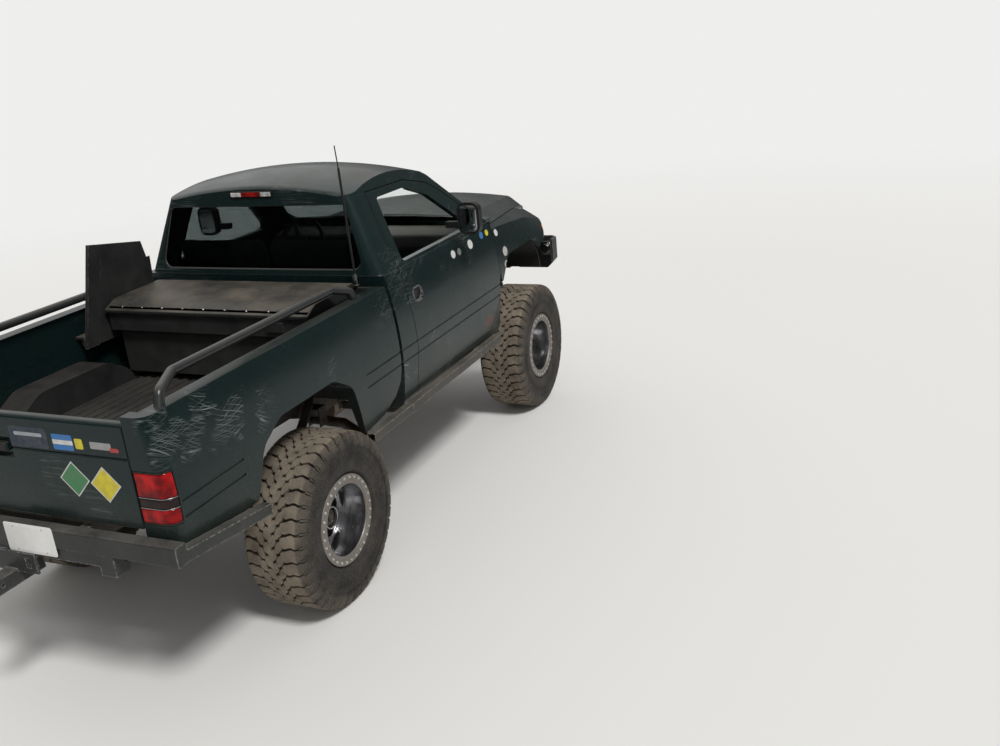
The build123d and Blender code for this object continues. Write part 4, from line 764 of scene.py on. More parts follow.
def circle(radius, sides=64):
    """A round outline's points."""
    return [(radius * math.cos(a), radius * math.sin(a)) for a in turn_angles(sides)]


UPRIGHT = Matrix.Rotation(math.radians(90), 4, "X")
clamp_ring = [(0.1495, 0.2235), (0.1495, 0.252), (0.1515, 0.2555), (0.1585, 0.2558), (0.162, 0.2535),
              (0.163, 0.25), (0.163, 0.2225), (0.1605, 0.2195), (0.1595, 0.2185), (0.1595, 0.2105),
              (0.161, 0.2085), (0.1625, 0.205), (0.162, 0.2015), (0.158, 0.1985), (0.152, 0.1985),
              (0.1495, 0.205)]
barrel = [(0.158, 0.199), (0.151, 0.1972), (0.128, 0.1968), (0.122, 0.1962), (0.05, 0.1962), (0.0, 0.1955),
          (-0.128, 0.1962), (-0.14, 0.202), (-0.149, 0.214), (-0.1515, 0.224), (-0.1515, 0.239),
          (-0.1485, 0.2405), (-0.1465, 0.2385), (-0.1455, 0.224), (-0.143, 0.2212), (-0.118, 0.2205),
          (-0.106, 0.206), (0.106, 0.206), (0.118, 0.2205), (0.149, 0.221), (0.156, 0.215)]
hub_tube = [(-0.018, 0.0665), (-0.012, 0.0655), (0.056, 0.0645), (0.061, 0.062), (0.062, 0.0585),
            (0.0605, 0.0555), (0.054, 0.0535), (-0.018, 0.0535)]
hub_cap = [(0.058, 0.001), (0.058, 0.018), (0.056, 0.02), (0.047, 0.021), (0.045, 0.024), (0.045, 0.042),
           (0.043, 0.0465), (0.03, 0.0485), (-0.058, 0.049), (-0.0595, 0.047), (-0.0595, 0.0305),
           (-0.002, 0.0305), (0.0, 0.029), (0.0, 0.001)]
DISC_HOLE = 0.053
WINDOW_CIRCLE, NUT_CIRCLE, RING_BOLT_CIRCLE = 0.14, 0.081, 0.2365
for label, centre in WHEEL_CENTRES.items():
    side = 1 if centre[1] > 0 else -1
    windows = [(x, y, 0.042) for x, y in circle(WINDOW_CIRCLE, 6)]
    disc = plate(circle(0.1975), windows + [(0, 0, DISC_HOLE)], 0.022, 0.003)
    disc.transform(Matrix.Translation((0, -0.029, 0)) @ UPRIGHT)
    boss = plate(circle(0.088, 48), [(0, 0, DISC_HOLE)], 0.02, 0.002)
    boss.transform(Matrix.Translation((0, -0.05, 0)) @ UPRIGHT)
    dish = bmesh.new()
    for made in (disc, boss):
        dish.from_mesh(made)
        bpy.data.meshes.remove(made)
    turned(dish, barrel, 96)
    turned(dish, hub_tube, 48)
    bright = settled("dish", fixed(dish))
    ring = settled("ring", fixed(turned(bmesh.new(), clamp_ring, 96)))
    ring_bolts = bolt_heads([((x, 0.163, z), (0, 1, 0)) for x, z in circle(RING_BOLT_CIRCLE, 30)], 0.0125,
                            bright_bolt)
    nuts = bolt_heads([((NUT_CIRCLE * math.cos(a), -0.018, NUT_CIRCLE * math.sin(a)), (0, 1, 0))
                       for a in (2 * math.pi * (i + 0.25) / 5 for i in range(5))], 0.03, bright_bolt)
    cap = bmesh.new()
    turned(cap, hub_cap, 40)
    slab(cap, (-0.016, 0.057, -0.003), (0.016, 0.0625, 0.003))
    core = settled("cap", fixed(cap))
    body = f"wheel_{label}"
    for name, mesh, material, slot, hidden in (
            ("dish", bright, polished, "polished_wheel", [f"wheel_{label}"]),
            ("clamp_ring", ring, ring_metal, "polished_wheel", []),
            ("ring_bolts", ring_bolts, bright_bolt, "bare_metal", []),
            ("lug_nuts", nuts, bright_bolt, "bare_metal", []),
            ("hub_cap", core, hub_black, "black_paint", [])):
        if side < 0:
            flipped(mesh)
        mesh.transform(Matrix.Translation(centre))
        piece(f"{name}_{label}", mesh, material, body, hidden, smooth=38)

# Steering. Forged knuckles with arms and calipers, a tie rod and a drag link with ball joints, and the
# arm on the steering box. Each turns on its own body.
rod_steel = weathered("rod steel", (0.06, 0.058, 0.055), 0.42, metallic=0.6, dust=0.5, high=1.0, wear=0.4,
                      worn=(0.3, 0.27, 0.25))
for node in ("knuckle_left", "knuckle_right"):
    piece(f"{node}_casting", cad_copy(node), axle_paint, node, [node], 0.003)
for node in ("tie_rod", "drag_link", "pitman_arm"):
    piece(f"{node}_bar", cad_copy(node), rod_steel, node, [node], 0.0015)

# Body panels. Pressed steel in very dark green metallic paint under clear lacquer: cab, fenders, hood,
# doors, bed sides and tailgate, with rolled edges, thin brown dust low and on top, and old scratches.
flake_group, given, results = shader_group(
    "Paint flakes", [("Color", (0.005, 0.0098, 0.0095, 1)), ("Glint", (0.03, 0.09, 0.088, 1))],
    [("Color", "NodeSocketColor"), ("Height", "NodeSocketFloat")])
place = object_place(flake_group)
cells = add(flake_group, "ShaderNodeTexVoronoi", {"Vector": place, "Scale": 1500.0})
glints = ramp(flake_group, add(flake_group, "ShaderNodeSeparateXYZ", {0: cells.outputs["Color"]}).outputs[0],
              0.75, 1.0)
orange_peel = noise(flake_group, place, 170.0, 2.0)
fill_in(flake_group, results, {
    "Color": blend(flake_group, glints, given["Color"], given["Glint"]),
    "Height": orange_peel})

# Scratches: thin pale lines, long along the truck, kept to clusters by a broad noise.
scratch_group, given, results = shader_group(
    "Scratch lines", [("Angle", 0.35), ("Fineness", 60.0), ("Amount", 0.5), ("Share", 0.6)],
    [("Mask", "NodeSocketFloat")])
place = object_place(scratch_group)
tilted = add(scratch_group, "ShaderNodeVectorRotate", {"Vector": place, "Angle": given["Angle"]},
             rotation_type="Y_AXIS")
parts = add(scratch_group, "ShaderNodeSeparateXYZ", {0: tilted.outputs[0]})
drawn = add(scratch_group, "ShaderNodeCombineXYZ", {"X": times(scratch_group, parts.outputs[0], 2.2),
                                                    "Y": times(scratch_group, parts.outputs[1], 0.6),
                                                    "Z": times(scratch_group, parts.outputs[2],
                                                               given["Fineness"])})
lines = noise(scratch_group, drawn.outputs[0], 1.0, 2.0)
split = calc(scratch_group, "ABSOLUTE", calc(scratch_group, "SUBTRACT", lines, 0.5))
thin = ramp(scratch_group, split, 0.0, 0.012, 1.0, 0.0)
clusters = noise(scratch_group, place, 2.6, 3.0)
kept = ramp(scratch_group, clusters, given["Share"], plus(scratch_group, given["Share"], 0.08))
fill_in(scratch_group, results, {
    "Mask": times(scratch_group, times(scratch_group, thin, kept), given["Amount"])})

# Wild scratches: thin contours of stretched noise in slants that cross, kept inside one round place of
# the truck's sides.
scrape_group, given, results = shader_group(
    "Scrapes", [("Along", -2.1), ("Height", 1.4), ("Reach", 0.3), ("Amount", 0.7)],
    [("Mask", "NodeSocketFloat")])
place = object_place(scrape_group)
parts = add(scrape_group, "ShaderNodeSeparateXYZ", {0: place})
bent = add(scrape_group, "ShaderNodeTexNoise",
           {"Vector": place, "Scale": 2.5, "Detail": 1.0}).outputs["Color"]
waved = add(scrape_group, "ShaderNodeVectorMath", {0: bent, 1: (0.14, 0.14, 0.14)},
            operation="MULTIPLY").outputs[0]
wander = add(scrape_group, "ShaderNodeVectorMath", {0: place, 1: waved}, operation="ADD").outputs[0]
families = []
for slant, stretch in ((-0.55, (1.2, 1.0, 38.0)), (-0.2, (0.9, 1.0, 55.0)), (0.3, (1.6, 1.0, 34.0))):
    slanted = add(scrape_group, "ShaderNodeVectorRotate", {"Vector": wander, "Angle": slant},
                  rotation_type="Y_AXIS").outputs[0]
    shaped = add(scrape_group, "ShaderNodeVectorMath", {0: slanted, 1: stretch},
                 operation="MULTIPLY").outputs[0]
    waves = noise(scrape_group, shaped, 1.0, 0.5)
    split = calc(scrape_group, "ABSOLUTE", calc(scrape_group, "SUBTRACT", waves, 0.5))
    families.append(ramp(scrape_group, split, 0.0, 0.016, 1.0, 0.0))
fine_line = calc(scrape_group, "MAXIMUM", calc(scrape_group, "MAXIMUM", families[0], families[1]),
                 times(scrape_group, families[2], 0.6))
gaps = noise(scrape_group, place, 8.0, 2.0)
away_x = calc(scrape_group, "SUBTRACT", parts.outputs[0], given["Along"])
away_z = times(scrape_group, calc(scrape_group, "SUBTRACT", parts.outputs[2], given["Height"]), 2.0)
away = calc(scrape_group, "SQRT", plus(scrape_group, times(scrape_group, away_x, away_x),
                                       times(scrape_group, away_z, away_z)))
near = ramp(scrape_group, calc(scrape_group, "DIVIDE", away, given["Reach"]), 0.6, 1.0, 1.0, 0.0)
on_side = ramp(scrape_group, calc(scrape_group, "ABSOLUTE", parts.outputs[1]), 0.86, 0.9)
near = times(scrape_group, near, on_side)
drawn = times(scrape_group, fine_line, ramp(scrape_group, gaps, 0.46, 0.56))
fill_in(scrape_group, results, {
    "Mask": times(scrape_group, times(scrape_group, drawn, near), given["Amount"])})

paint, tree = blank_material("dark green paint")
space = object_place(tree)
flakes = group_in(tree, flake_group, {})
drift = noise(tree, space, 2.0, 6.0)
lines_one = group_in(tree, scratch_group, {"Angle": 0.5, "Fineness": 70.0, "Amount": 0.35,
                                           "Share": 0.57})["Mask"]
lines_two = group_in(tree, scratch_group, {"Angle": -0.06, "Fineness": 110.0, "Amount": 0.4,
                                           "Share": 0.58})["Mask"]
bed_corner = group_in(tree, scrape_group, {"Along": -2.26, "Height": 1.44, "Reach": 0.34})["Mask"]
arch_edge = group_in(tree, scrape_group, {"Along": -1.86, "Height": 1.33, "Reach": 0.3})["Mask"]
cab_corner = group_in(tree, scrape_group, {"Along": -0.2, "Height": 1.0, "Reach": 0.2})["Mask"]
scratched = calc(tree, "MAXIMUM", calc(tree, "MAXIMUM", lines_one, lines_two),
                 calc(tree, "MAXIMUM", calc(tree, "MAXIMUM", bed_corner, arch_edge), cab_corner))
tone = blend(tree, scratched, flakes["Color"], (0.33, 0.36, 0.35, 1))
# A patch rubbed down to red primer, low at the front of the right door.
aside = add(tree, "ShaderNodeVectorMath", {0: space, 1: (-1.01, 0.99, -0.92)}, operation="ADD").outputs[0]
aside = add(tree, "ShaderNodeVectorMath", {0: aside, 1: (1.0, 0.7, 2.2)}, operation="MULTIPLY").outputs[0]
reach = add(tree, "ShaderNodeVectorMath", {0: aside}, operation="LENGTH").outputs["Value"]
ragged = noise(tree, space, 22.0, 6.0)
bare = ramp(tree, plus(tree, reach, times(tree, ragged, 0.09)), 0.115, 0.14, 0.85, 0.0)
tone = blend(tree, bare, tone, (0.09, 0.022, 0.014, 1))
rubbed = group_in(tree, wear_group, {"Radius": 0.003, "Amount": 0.12})["Mask"]
tone = blend(tree, rubbed, tone, (0.16, 0.17, 0.16, 1))
dull = plus(tree, ramp(tree, drift, 0.3, 0.7, 0.2, 0.32), times(tree, scratched, 0.3))
dusty = group_in(tree, dust_group, {"Color": tone, "Roughness": dull, "Dust": (0.15, 0.135, 0.11, 1),
                                    "Amount": 0.4, "Low": 0.6, "High": 1.25, "Top": 0.3})
relief = bumped(tree, plus(tree, flakes["Height"], times(tree, scratched, -2.0)), 0.035, 0.002)
surface(tree, {"Base Color": dusty["Color"], "Roughness": dusty["Roughness"], "Metallic": 0.3,
               "Normal": relief, "Coat Weight": 0.12, "Coat Roughness": 0.1, "Specular IOR Level": 0.2})

cab_nodes = ("cab_floor", "cab_back", "cab_front", "cab_roof")
piece("cab_panels", cad_copy(*cab_nodes, seams=(0.993, 2.024)), paint, "body", cab_nodes, 0.006)
for node, body, rounding in (("fenders", "body", 0.005), ("hood", "hood", 0.006),
                             ("door_left", "door_left", 0.004), ("door_right", "door_right", 0.004),
                             ("bedsides", "body", 0.006), ("tailgate", "tailgate", 0.005)):
    piece(f"{node}_panels", cad_copy(node), paint, body, [node], rounding)

# Door handles. Moulded lift handles in a recess of each door, grey round the edge and dark inside, worn by
# use. The tailgate has a wider one of the same kind.
black_plastic = weathered("black plastic", (0.012, 0.012, 0.012), 0.5, dust=0.25, high=1.3, top=0.25,
                          wear=0.1, grain=900)


def rounded(width, height, corner, middle=(0, 0)):
    """A rectangle's outline with round corners."""
    points = []
    for k, (right, top) in enumerate(((1, 1), (-1, 1), (-1, -1), (1, -1))):
        for i in range(7):
            a = math.pi / 2 * (k + i / 6)
            points.append((middle[0] + right * (width / 2 - corner) + corner * math.cos(a),
                           middle[1] + top * (height / 2 - corner) + corner * math.sin(a)))
    return points


grey_plastic = weathered("grey plastic", (0.09, 0.095, 0.095), 0.45, dust=0.15, high=1.3, top=0.25, wear=0.3,
                         grain=900)
for side, label in ((1, "left"), (-1, "right")):
    lift = plate(rounded(0.088, 0.064, 0.018), [], 0.012, 0.0035)
    lift.transform(Matrix.Translation((0.0025, side * 0.9405, 1.4115)) @ UPRIGHT)
    piece(f"door_handle_{label}", lift, black_plastic, f"door_{label}")
    target = bpy.data.objects[f"door_{label}_panels"]
    rim = bmesh.new()
    rings = []
    for grow, lift_off in ((-0.003, 0.0), (0.0, 0.004), (0.006, 0.0045), (0.01, 0.0)):
        ring = []
        for x, z in rounded(0.105 + 2 * grow, 0.08 + 2 * grow, 0.03 + grow, (0.0025, 1.412)):
            met, spot, _, _ = target.ray_cast((x, side * 1.2, z), (0, -side, 0))
            face_y = max(abs(spot.y), 0.947) if met else 0.95
            ring.append(rim.verts.new((x, side * (face_y + lift_off), z)))
        rings.append(ring)
    for first, second in zip(rings, rings[1:]):
        for i in range(len(first)):
            j = (i + 1) % len(first)
            rim.faces.new((first[i], first[j], second[j], second[i]))
    bmesh.ops.recalc_face_normals(rim, faces=rim.faces)
    if sum(face.normal.y * side for face in rim.faces) < 0:
        bmesh.ops.reverse_faces(rim, faces=rim.faces)
    piece(f"door_handle_rim_{label}", rim, grey_plastic, f"door_{label}", [], smooth=60)
lift = plate(rounded(0.168, 0.036, 0.01), [], 0.01, 0.003)
TO_REAR = Matrix(((0, 0, 1, 0), (1, 0, 0, 0), (0, 1, 0, 0), (0, 0, 0, 1)))
lift.transform(Matrix.Translation((-2.4335, 0, 1.351)) @ TO_REAR)
piece("tailgate_handle", lift, black_plastic, "tailgate")

# Mirrors. Black rounded shells on short arms, with a silvered glass facing back and a small round
# wide-angle one low at its outer corner.
silvered = weathered("silvered glass", (0.5, 0.52, 0.53), 0.05, metallic=1.0, mottle=0.05, dust=0.0, top=0.0,
                     wear=0.0, bump=0.0)
for side, label in ((1, "left"), (-1, "right")):
    dress(f"mirror_{label}", black_plastic)
    panes = bmesh.new()
    for made, spot in ((plate(rounded(0.124, 0.176, 0.03), [], 0.004, 0.001), (0.584, side * 1.08, 1.764)),
                       (plate(circle(0.022, 32), [], 0.005, 0.002), (0.5805, side * 1.112, 1.705))):
        made.transform(Matrix.Translation(spot) @ TO_REAR)
        panes.from_mesh(made)
        bpy.data.meshes.remove(made)
    piece(f"mirror_glass_{label}", fixed(panes), silvered, f"door_{label}")


# Tail lamps. Two red lenses a side, one above the other, with a smoked band and thin bright strips between
# them and black edges, wrapped round the bed's corner. The high brake lamp has a red middle and pale ends.
def band(mesh, low, high):
    """The part of a mesh between two heights, closed again."""
    for height, way in ((low, -1), (high, 1)):
        whole = mesh.verts[:] + mesh.edges[:] + mesh.faces[:]
        cut = bmesh.ops.bisect_plane(mesh, geom=whole, plane_co=(0, 0, height), plane_no=(0, 0, way),
                                     clear_outer=True)
        rim = [part for part in cut["geom_cut"] if isinstance(part, bmesh.types.BMEdge)]
        bmesh.ops.edgeloop_fill(mesh, edges=rim)
    return fixed(mesh)


def lens(name, deep, bright):
    """Ribbed coloured plastic, lightened in patches by a painted highlight that stands for the reflector
    behind it.
    """
    material, tree = blank_material(name)
    space = object_place(tree)
    painted_reflector_highlight = noise(tree, space, 12.0, 2.0)
    ribs = add(tree, "ShaderNodeTexWave", {"Vector": space, "Scale": 40.0},
               bands_direction="Z").outputs["Fac"]
    # Painted highlight: the lens colour goes over to its brighter colour in noise patches, in place of light
    # off a reflector.
    tone = blend(tree, ramp(tree, painted_reflector_highlight, 0.42, 0.66), tuple(deep) + (1,), tuple(bright) + (1,))
    relief = bumped(tree, ribs, 0.12, 0.001)
    surface(tree, {"Base Color": tone, "Roughness": 0.12, "Normal": relief, "Coat Weight": 0.08,
                   "Coat Roughness": 0.03, "Specular IOR Level": 0.15})
    return material


# The second colour of each lens is its painted reflector highlight.
red_lens = lens("red lens", (0.13, 0.001, 0.002), (0.47, 0.005, 0.005))
smoked_lens = lens("smoked lens", (0.01, 0.006, 0.006), (0.025, 0.012, 0.011))
pale_lens = lens("pale lens", (0.32, 0.32, 0.31), (0.72, 0.72, 0.7))
bright_rim = weathered("bright rim", (0.3, 0.31, 0.31), 0.25, metallic=1.0, mottle=0.15, dust=0.1, wear=0.0)
lamp_bands = ((1.044, 1.050, black_plastic), (1.0505, 1.118, red_lens), (1.1185, 1.1235, bright_rim),
              (1.124, 1.168, smoked_lens), (1.1685, 1.1735, bright_rim), (1.174, 1.289, red_lens),
              (1.2895, 1.296, black_plastic))
lamp_slots = {bright_rim: "lamp_ring", black_plastic: "black_plastic"}
for number, (low, high, material) in enumerate(lamp_bands):
    round_edge = 0.006 if high - low > 0.03 else 0.0015
    slot = lamp_slots.get(material, "lamp_red")
    piece(f"tail_lamp_band_{number + 1}", band(cad_copy("rear_lamps"), low, high), material, "body",
          ["rear_lamps"], round_edge)
piece("brake_lamp_housing", band(cad_copy("rear_lamps"), 2.0, 2.2), black_plastic, "body",
      [], 0.004)
brake_lens, end_lens = bmesh.new(), bmesh.new()
lens_bottom, lens_top = 2.087, 2.113
slab(brake_lens, (-0.256, -0.07, lens_bottom), (-0.249, 0.07, lens_top))
for side in (-1, 1):
    slab(end_lens, (-0.256, min(side * 0.074, side * 0.15), lens_bottom),
         (-0.249, max(side * 0.074, side * 0.15), lens_top))
piece("brake_lamp_lens", fixed(brake_lens), red_lens, "body", [], 0.0025)
piece("brake_lamp_ends", fixed(end_lens), pale_lens, "body", [], 0.0025)

# Front lamps. Head lamps with an amber corner lamp beside each, and four round lamps in the bumper with
# bright housings that show from behind.
amber_lens = lens("amber lens", (0.35, 0.09, 0.01), (0.7, 0.22, 0.03))
corner_lamp_edge = 0.806
head_lamps, corner_lamps = cad_copy("front_lamps"), cad_copy("front_lamps")
for mesh, inner in ((head_lamps, True), (corner_lamps, False)):
    leaving = [vert for vert in mesh.verts if (abs(vert.co.y) > corner_lamp_edge) == inner]
    bmesh.ops.delete(mesh, geom=leaving, context="VERTS")
piece("head_lamps", head_lamps, pale_lens, "body", ["front_lamps"], 0.004)
piece("corner_lamps", corner_lamps, amber_lens, "body", ["front_lamps"], 0.004)
piece("bumper_lamp_housings", cad_copy("bumper_lamps"), bright_rim, "body", ["bumper_lamps"],
      0.004)
fog_lenses = bmesh.new()
for side in (-0.9, -0.727, 0.727, 0.9):
    rod_mesh(fog_lenses, (2.4805, side, 1.124), (2.484, side, 1.124), 0.05, 0.046, sides=40)
piece("bumper_lamp_lenses", fixed(fog_lenses), pale_lens, "body", [], 0.0012)

# Bumpers and sliders. Welded boxes and plate in dark paint, dusty, scraped pale along their edges. The
# hitch below the rear bumper has a square receiver with a thick collar at its mouth.
bumper_steel = weathered("bumper paint", (0.016, 0.018, 0.019), 0.38, dust=0.28, low=0.6, high=1.3, top=0.4,
                         wear=0.85, worn=(0.3, 0.31, 0.3), dust_colour=(0.2, 0.185, 0.16, 1),
                         wear_reach=0.012)
slider_steel = weathered("slider paint", (0.03, 0.029, 0.027), 0.42, dust=0.4, low=0.5, high=1.1, top=0.4,
                         wear=0.85, worn=(0.32, 0.3, 0.27), dust_colour=(0.22, 0.195, 0.16, 1),
                         wear_reach=0.012)
piece("rear_bumper_and_hitch", cad_copy("rear_bumper"), bumper_steel, "body", ["rear_bumper"],
      0.0035)
piece("front_bumper_steel", cad_copy("front_bumper"), bumper_steel, "body", ["front_bumper"],
      0.0035)
piece("slider_tubes", cad_copy("rock_sliders"), slider_steel, "body", ["rock_sliders"], 0.003)
collar = bmesh.new()
for x in (-2.676, -2.656):
    for half in (0.046, 0.027):
        for y, z in ((-half, -half), (half, -half), (half, half), (-half, half)):
            collar.verts.new((x, y, 0.718 + z))
collar.verts.ensure_lookup_table()
for i in range(4):
    j = (i + 1) % 4
    for a, b, c, d in ((i, j, 4 + j, 4 + i), (8 + i, 8 + j, 12 + j, 12 + i), (i, j, 8 + j, 8 + i),
                       (4 + i, 4 + j, 12 + j, 12 + i)):
        collar.faces.new([collar.verts[k] for k in (a, b, c, d)])
piece("receiver_collar", fixed(collar), bumper_steel, "body", [], 0.003)

# Licence plate. A blank white pressed plate, flat in the middle with a rim round it, and held by four
# bright bolts.
plate_white = weathered("blank plate", (0.7, 0.7, 0.68), 0.4, mottle=0.06, dust=0.25, low=0.5, high=1.6,
                        top=0.2, wear=0.0)
blank_plate = bmesh.new()
for made, depth in ((plate(rounded(0.304, 0.152, 0.014), [], 0.002, 0.0007), -2.5085),
                    (plate(rounded(0.286, 0.134, 0.01), [], 0.001, 0.0003), -2.5098)):
    made.transform(Matrix.Translation((depth, -0.17, 0.927)) @ TO_REAR)
    blank_plate.from_mesh(made)
    bpy.data.meshes.remove(made)
piece("blank_licence_plate", fixed(blank_plate), plate_white, "body", ["licence_plate"])
piece("plate_bolts", bolt_heads([((-2.51, -0.17 + y, 0.927 + z), (-1, 0, 0)) for y in (-0.09, 0.09)
                                 for z in (-0.06, 0.06)], 0.007, bright_bolt), bright_bolt, "body")

# Bed. A ribbed floor and wheel housings under a dull black lining, scuffed and dusty, with rails of dark
# steel tube bolted on top of both sides.
liner = weathered("bed liner", (0.014, 0.014, 0.0145), 0.7, dust=0.05, low=0.9, high=1.4, top=0.1, wear=0.2,
                  grain=500, bump=0.5)
grey_tube = weathered("grey tube paint", (0.02, 0.022, 0.022), 0.3, dust=0.1, top=0.2, wear=0.3,
                      worn=(0.3, 0.3, 0.3), shine=0.5)
piece("bed_tub", cad_copy("bed_box"), liner, "body", ["bed_box"], 0.004)
dress("bed_tube_rails", grey_tube)

# Tool box and upright panel. Folded sheet steel, dark and worn pale at the edges. The lid hangs on its
# front edge and has a row of small bright bolts along its rear edge.
sheet_steel = weathered("sheet steel", (0.028, 0.029, 0.028), 0.4, metallic=0.2, dust=0.2, top=0.45,
                        wear=0.6, worn=(0.4, 0.4, 0.39))
piece("tool_box_body", cad_copy("tool_box"), sheet_steel, "body", ["tool_box"], 0.003)
piece("tool_box_cover", cad_copy("tool_box_lid"), sheet_steel, "tool_box_lid",
      ["tool_box_lid"], 0.004)
piece("upright_plate", cad_copy("upright_panel"), sheet_steel, "body", ["upright_panel"],
      0.002)
piece("lid_bolts", bolt_heads([((-0.873, y * 0.155, 1.5385), (-0.44, 0, 0.9)) for y in range(-4, 5)], 0.008,
                              bright_bolt), bright_bolt, "tool_box_lid")

# Antenna. A black whip, thicker up to its middle joint, on a plated spring and foot. It stands behind
# the cab's right rear corner.
dress("antenna", black_plastic)
spring_foot = bmesh.new()
for start, end, radius in ((1.551, 1.566, 0.021), (1.566, 1.6, 0.0145), (1.6, 1.604, 0.0165),
                           (1.608, 1.612, 0.0165), (1.616, 1.62, 0.0165), (1.624, 1.628, 0.012)):
    rod_mesh(spring_foot, (-0.364, -0.748, start), (-0.364, -0.748, end), radius, sides=24)
piece("antenna_foot", fixed(spring_foot), bright_rim, "body", [], 0.001)

# Cabin. A moulded dashboard and a padded bench of two seats with split backs, in grey cloth sewn in
# upright channels. The pads are swollen by a cloth simulation from slightly smaller forms.
cabin = weathered("cabin plastic", (0.03, 0.03, 0.031), 0.6, dust=0.0, top=0.2, wear=0.05, grain=1200)
piece("dashboard_moulding", cad_copy("dashboard"), cabin, "body", ["dashboard"], 0.02,
      segments=3)
dress("steering_wheel", black_plastic)
seat_cloth = weathered("seat cloth", (0.11, 0.11, 0.115), 0.95, dust=0.0, top=0.1, wear=0.0, grain=1500,
                       bump=0.5, shine=0.1)


MOST_SWELLING, SEAM_WIDTH, SEAM_DEPTH = 0.018, 0.011, 0.009


def swollen_pad(name, mesh, seams, replaced):
    """A padded piece from a closed form: remeshed, filled with pressure, sewn along lines of y."""
    obj = piece(name, mesh, seat_cloth, "body", replaced, 0.035, segments=3)
    cells = obj.modifiers.new("cells", "REMESH")
    cells.mode = "VOXEL"
    cells.voxel_size = 0.012
    obj.data = baked(obj)
    obj.modifiers.clear()
    before = [vertex.co.copy() for vertex in obj.data.vertices]
    filling = obj.modifiers.new("filling", "CLOTH")
    filling.settings.use_pressure = True
    filling.settings.uniform_pressure_force = 4
    filling.settings.effector_weights.gravity = 0
    for step in range(1, 21):
        bpy.context.scene.frame_set(step)
    swelled = bpy.data.meshes.new_from_object(obj.evaluated_get(bpy.context.evaluated_depsgraph_get()))
    after = [vertex.co.copy() for vertex in swelled.vertices]
    bpy.data.meshes.remove(swelled)
    obj.modifiers.clear()
    bpy.context.scene.frame_set(1)
    for vertex, start, end in zip(obj.data.vertices, before, after):
        move = end - start
        vertex.co = start + move * min(1.0, MOST_SWELLING / max(move.length, 1e-9))
    for vertex in obj.data.vertices:
        pull = sum(math.exp(-((vertex.co.y - seam) / SEAM_WIDTH) ** 2) for seam in seams)
        vertex.co -= vertex.normal * SEAM_DEPTH * min(1.0, pull)
    finer = obj.modifiers.new("finer", "SUBSURF")
    finer.levels = finer.render_levels = 1
    obj.data = baked(obj)
    obj.modifiers.clear()
    obj.data.shade_smooth()
    obj.data.materials.clear()
    obj.data.materials.append(seat_cloth)
    return obj


for label, node, fill in (("cushion", "seat_cushion", 0.8), ("back", "seat_backrest", 0.8)):
    for side, name in ((1, "left"), (-1, "right")):
        half = cad_copy(node)
        whole = half.verts[:] + half.edges[:] + half.faces[:]
        cut = bmesh.ops.bisect_plane(half, geom=whole, plane_co=(0, side * 0.012, 0), plane_no=(0, -side, 0),
                                     clear_outer=True)
        bmesh.ops.edgeloop_fill(half, edges=[part for part in cut["geom_cut"]
                                             if isinstance(part, bmesh.types.BMEdge)])
        fixed(half)
        middle = sum((vert.co for vert in half.verts), Vector()) / len(half.verts)
        for vert in half.verts:
            vert.co = middle + (vert.co - middle) * 0.955
        pad = swollen_pad(f"seat_{label}_{name}", half, [side * y for y in (0.16, 0.27, 0.44, 0.55)], [node])


# Windows. Clear windscreen and left door glass and a dark tinted rear window. Rubber beads edge the
# windscreen and the rear window. The right door's glass is wound down.
def edge_bead(node, way, radius):
    """A round bead along the edge of a CAD node's side that looks a given way."""
    mesh = cad_copy(node)
    side = {face for face in mesh.faces if face.normal.dot(Vector(way)) > 0.5}
    rim = {edge for edge in mesh.edges if len([face for face in edge.link_faces if face in side]) == 1}
    run = []
    edge = next(iter(rim))
    vert = edge.verts[0]
    while edge is not None:
        run.append(tuple(vert.co))
        rim.discard(edge)
        vert = edge.other_vert(vert)
        edge = next((other for other in vert.link_edges if other in rim), None)
    mesh.free()
    bead = bpy.data.curves.new("bead", "CURVE")
    bead.dimensions = "3D"
    bead.bevel_depth = radius
    bead.bevel_resolution = 2
    spline = bead.splines.new("POLY")
    spline.points.add(len(run) - 1)
    for point, place in zip(spline.points, run):
        point.co = place + (1,)
    spline.use_cyclic_u = True
    carrier = linked("bead", bead)
    made = baked(carrier)
    bpy.data.objects.remove(carrier)
    return made


seal_rubber = weathered("seal rubber", (0.05, 0.052, 0.052), 0.35, dust=0.1, top=0.1, wear=0.0, mottle=0.1,
                        shine=0.5)
for node, way in (("windscreen", (0.8, 0, 0.5)), ("rear_window", (-1, 0, 0.1))):
    piece(f"{node}_seal", edge_bead(node, way, 0.006), seal_rubber, "body", [], smooth=60)


def glass(name, tint):
    """Window glass with its tint."""
    material, tree = blank_material(name)
    space = object_place(tree)
    smear = noise(tree, space, 5.0, 5.0)
    surface(tree, {"Base Color": tint, "Roughness": ramp(tree, smear, 0.4, 0.7, 0.02, 0.07),
                   "Transmission Weight": 1.0, "IOR": 1.1})
    return material


clear_glass = glass("clear glass", (0.86, 0.9, 0.88, 1))
dark_glass = glass("tinted glass", (0.10, 0.12, 0.12, 1))
dress("windscreen", clear_glass)
dress("rear_window", dark_glass)
dress("door_glass_left", clear_glass)

# Grille and inner fenders. Moulded in dull black plastic. The grille is a plain frame with thin upright
# and level bars, and it opens with the hood.
piece("grille_moulding", cad_copy("grille"), black_plastic, "hood", ["grille"], 0.003)
piece("fender_liners", cad_copy("inner_fenders"), black_plastic, "body", ["inner_fenders"],
      0.002)

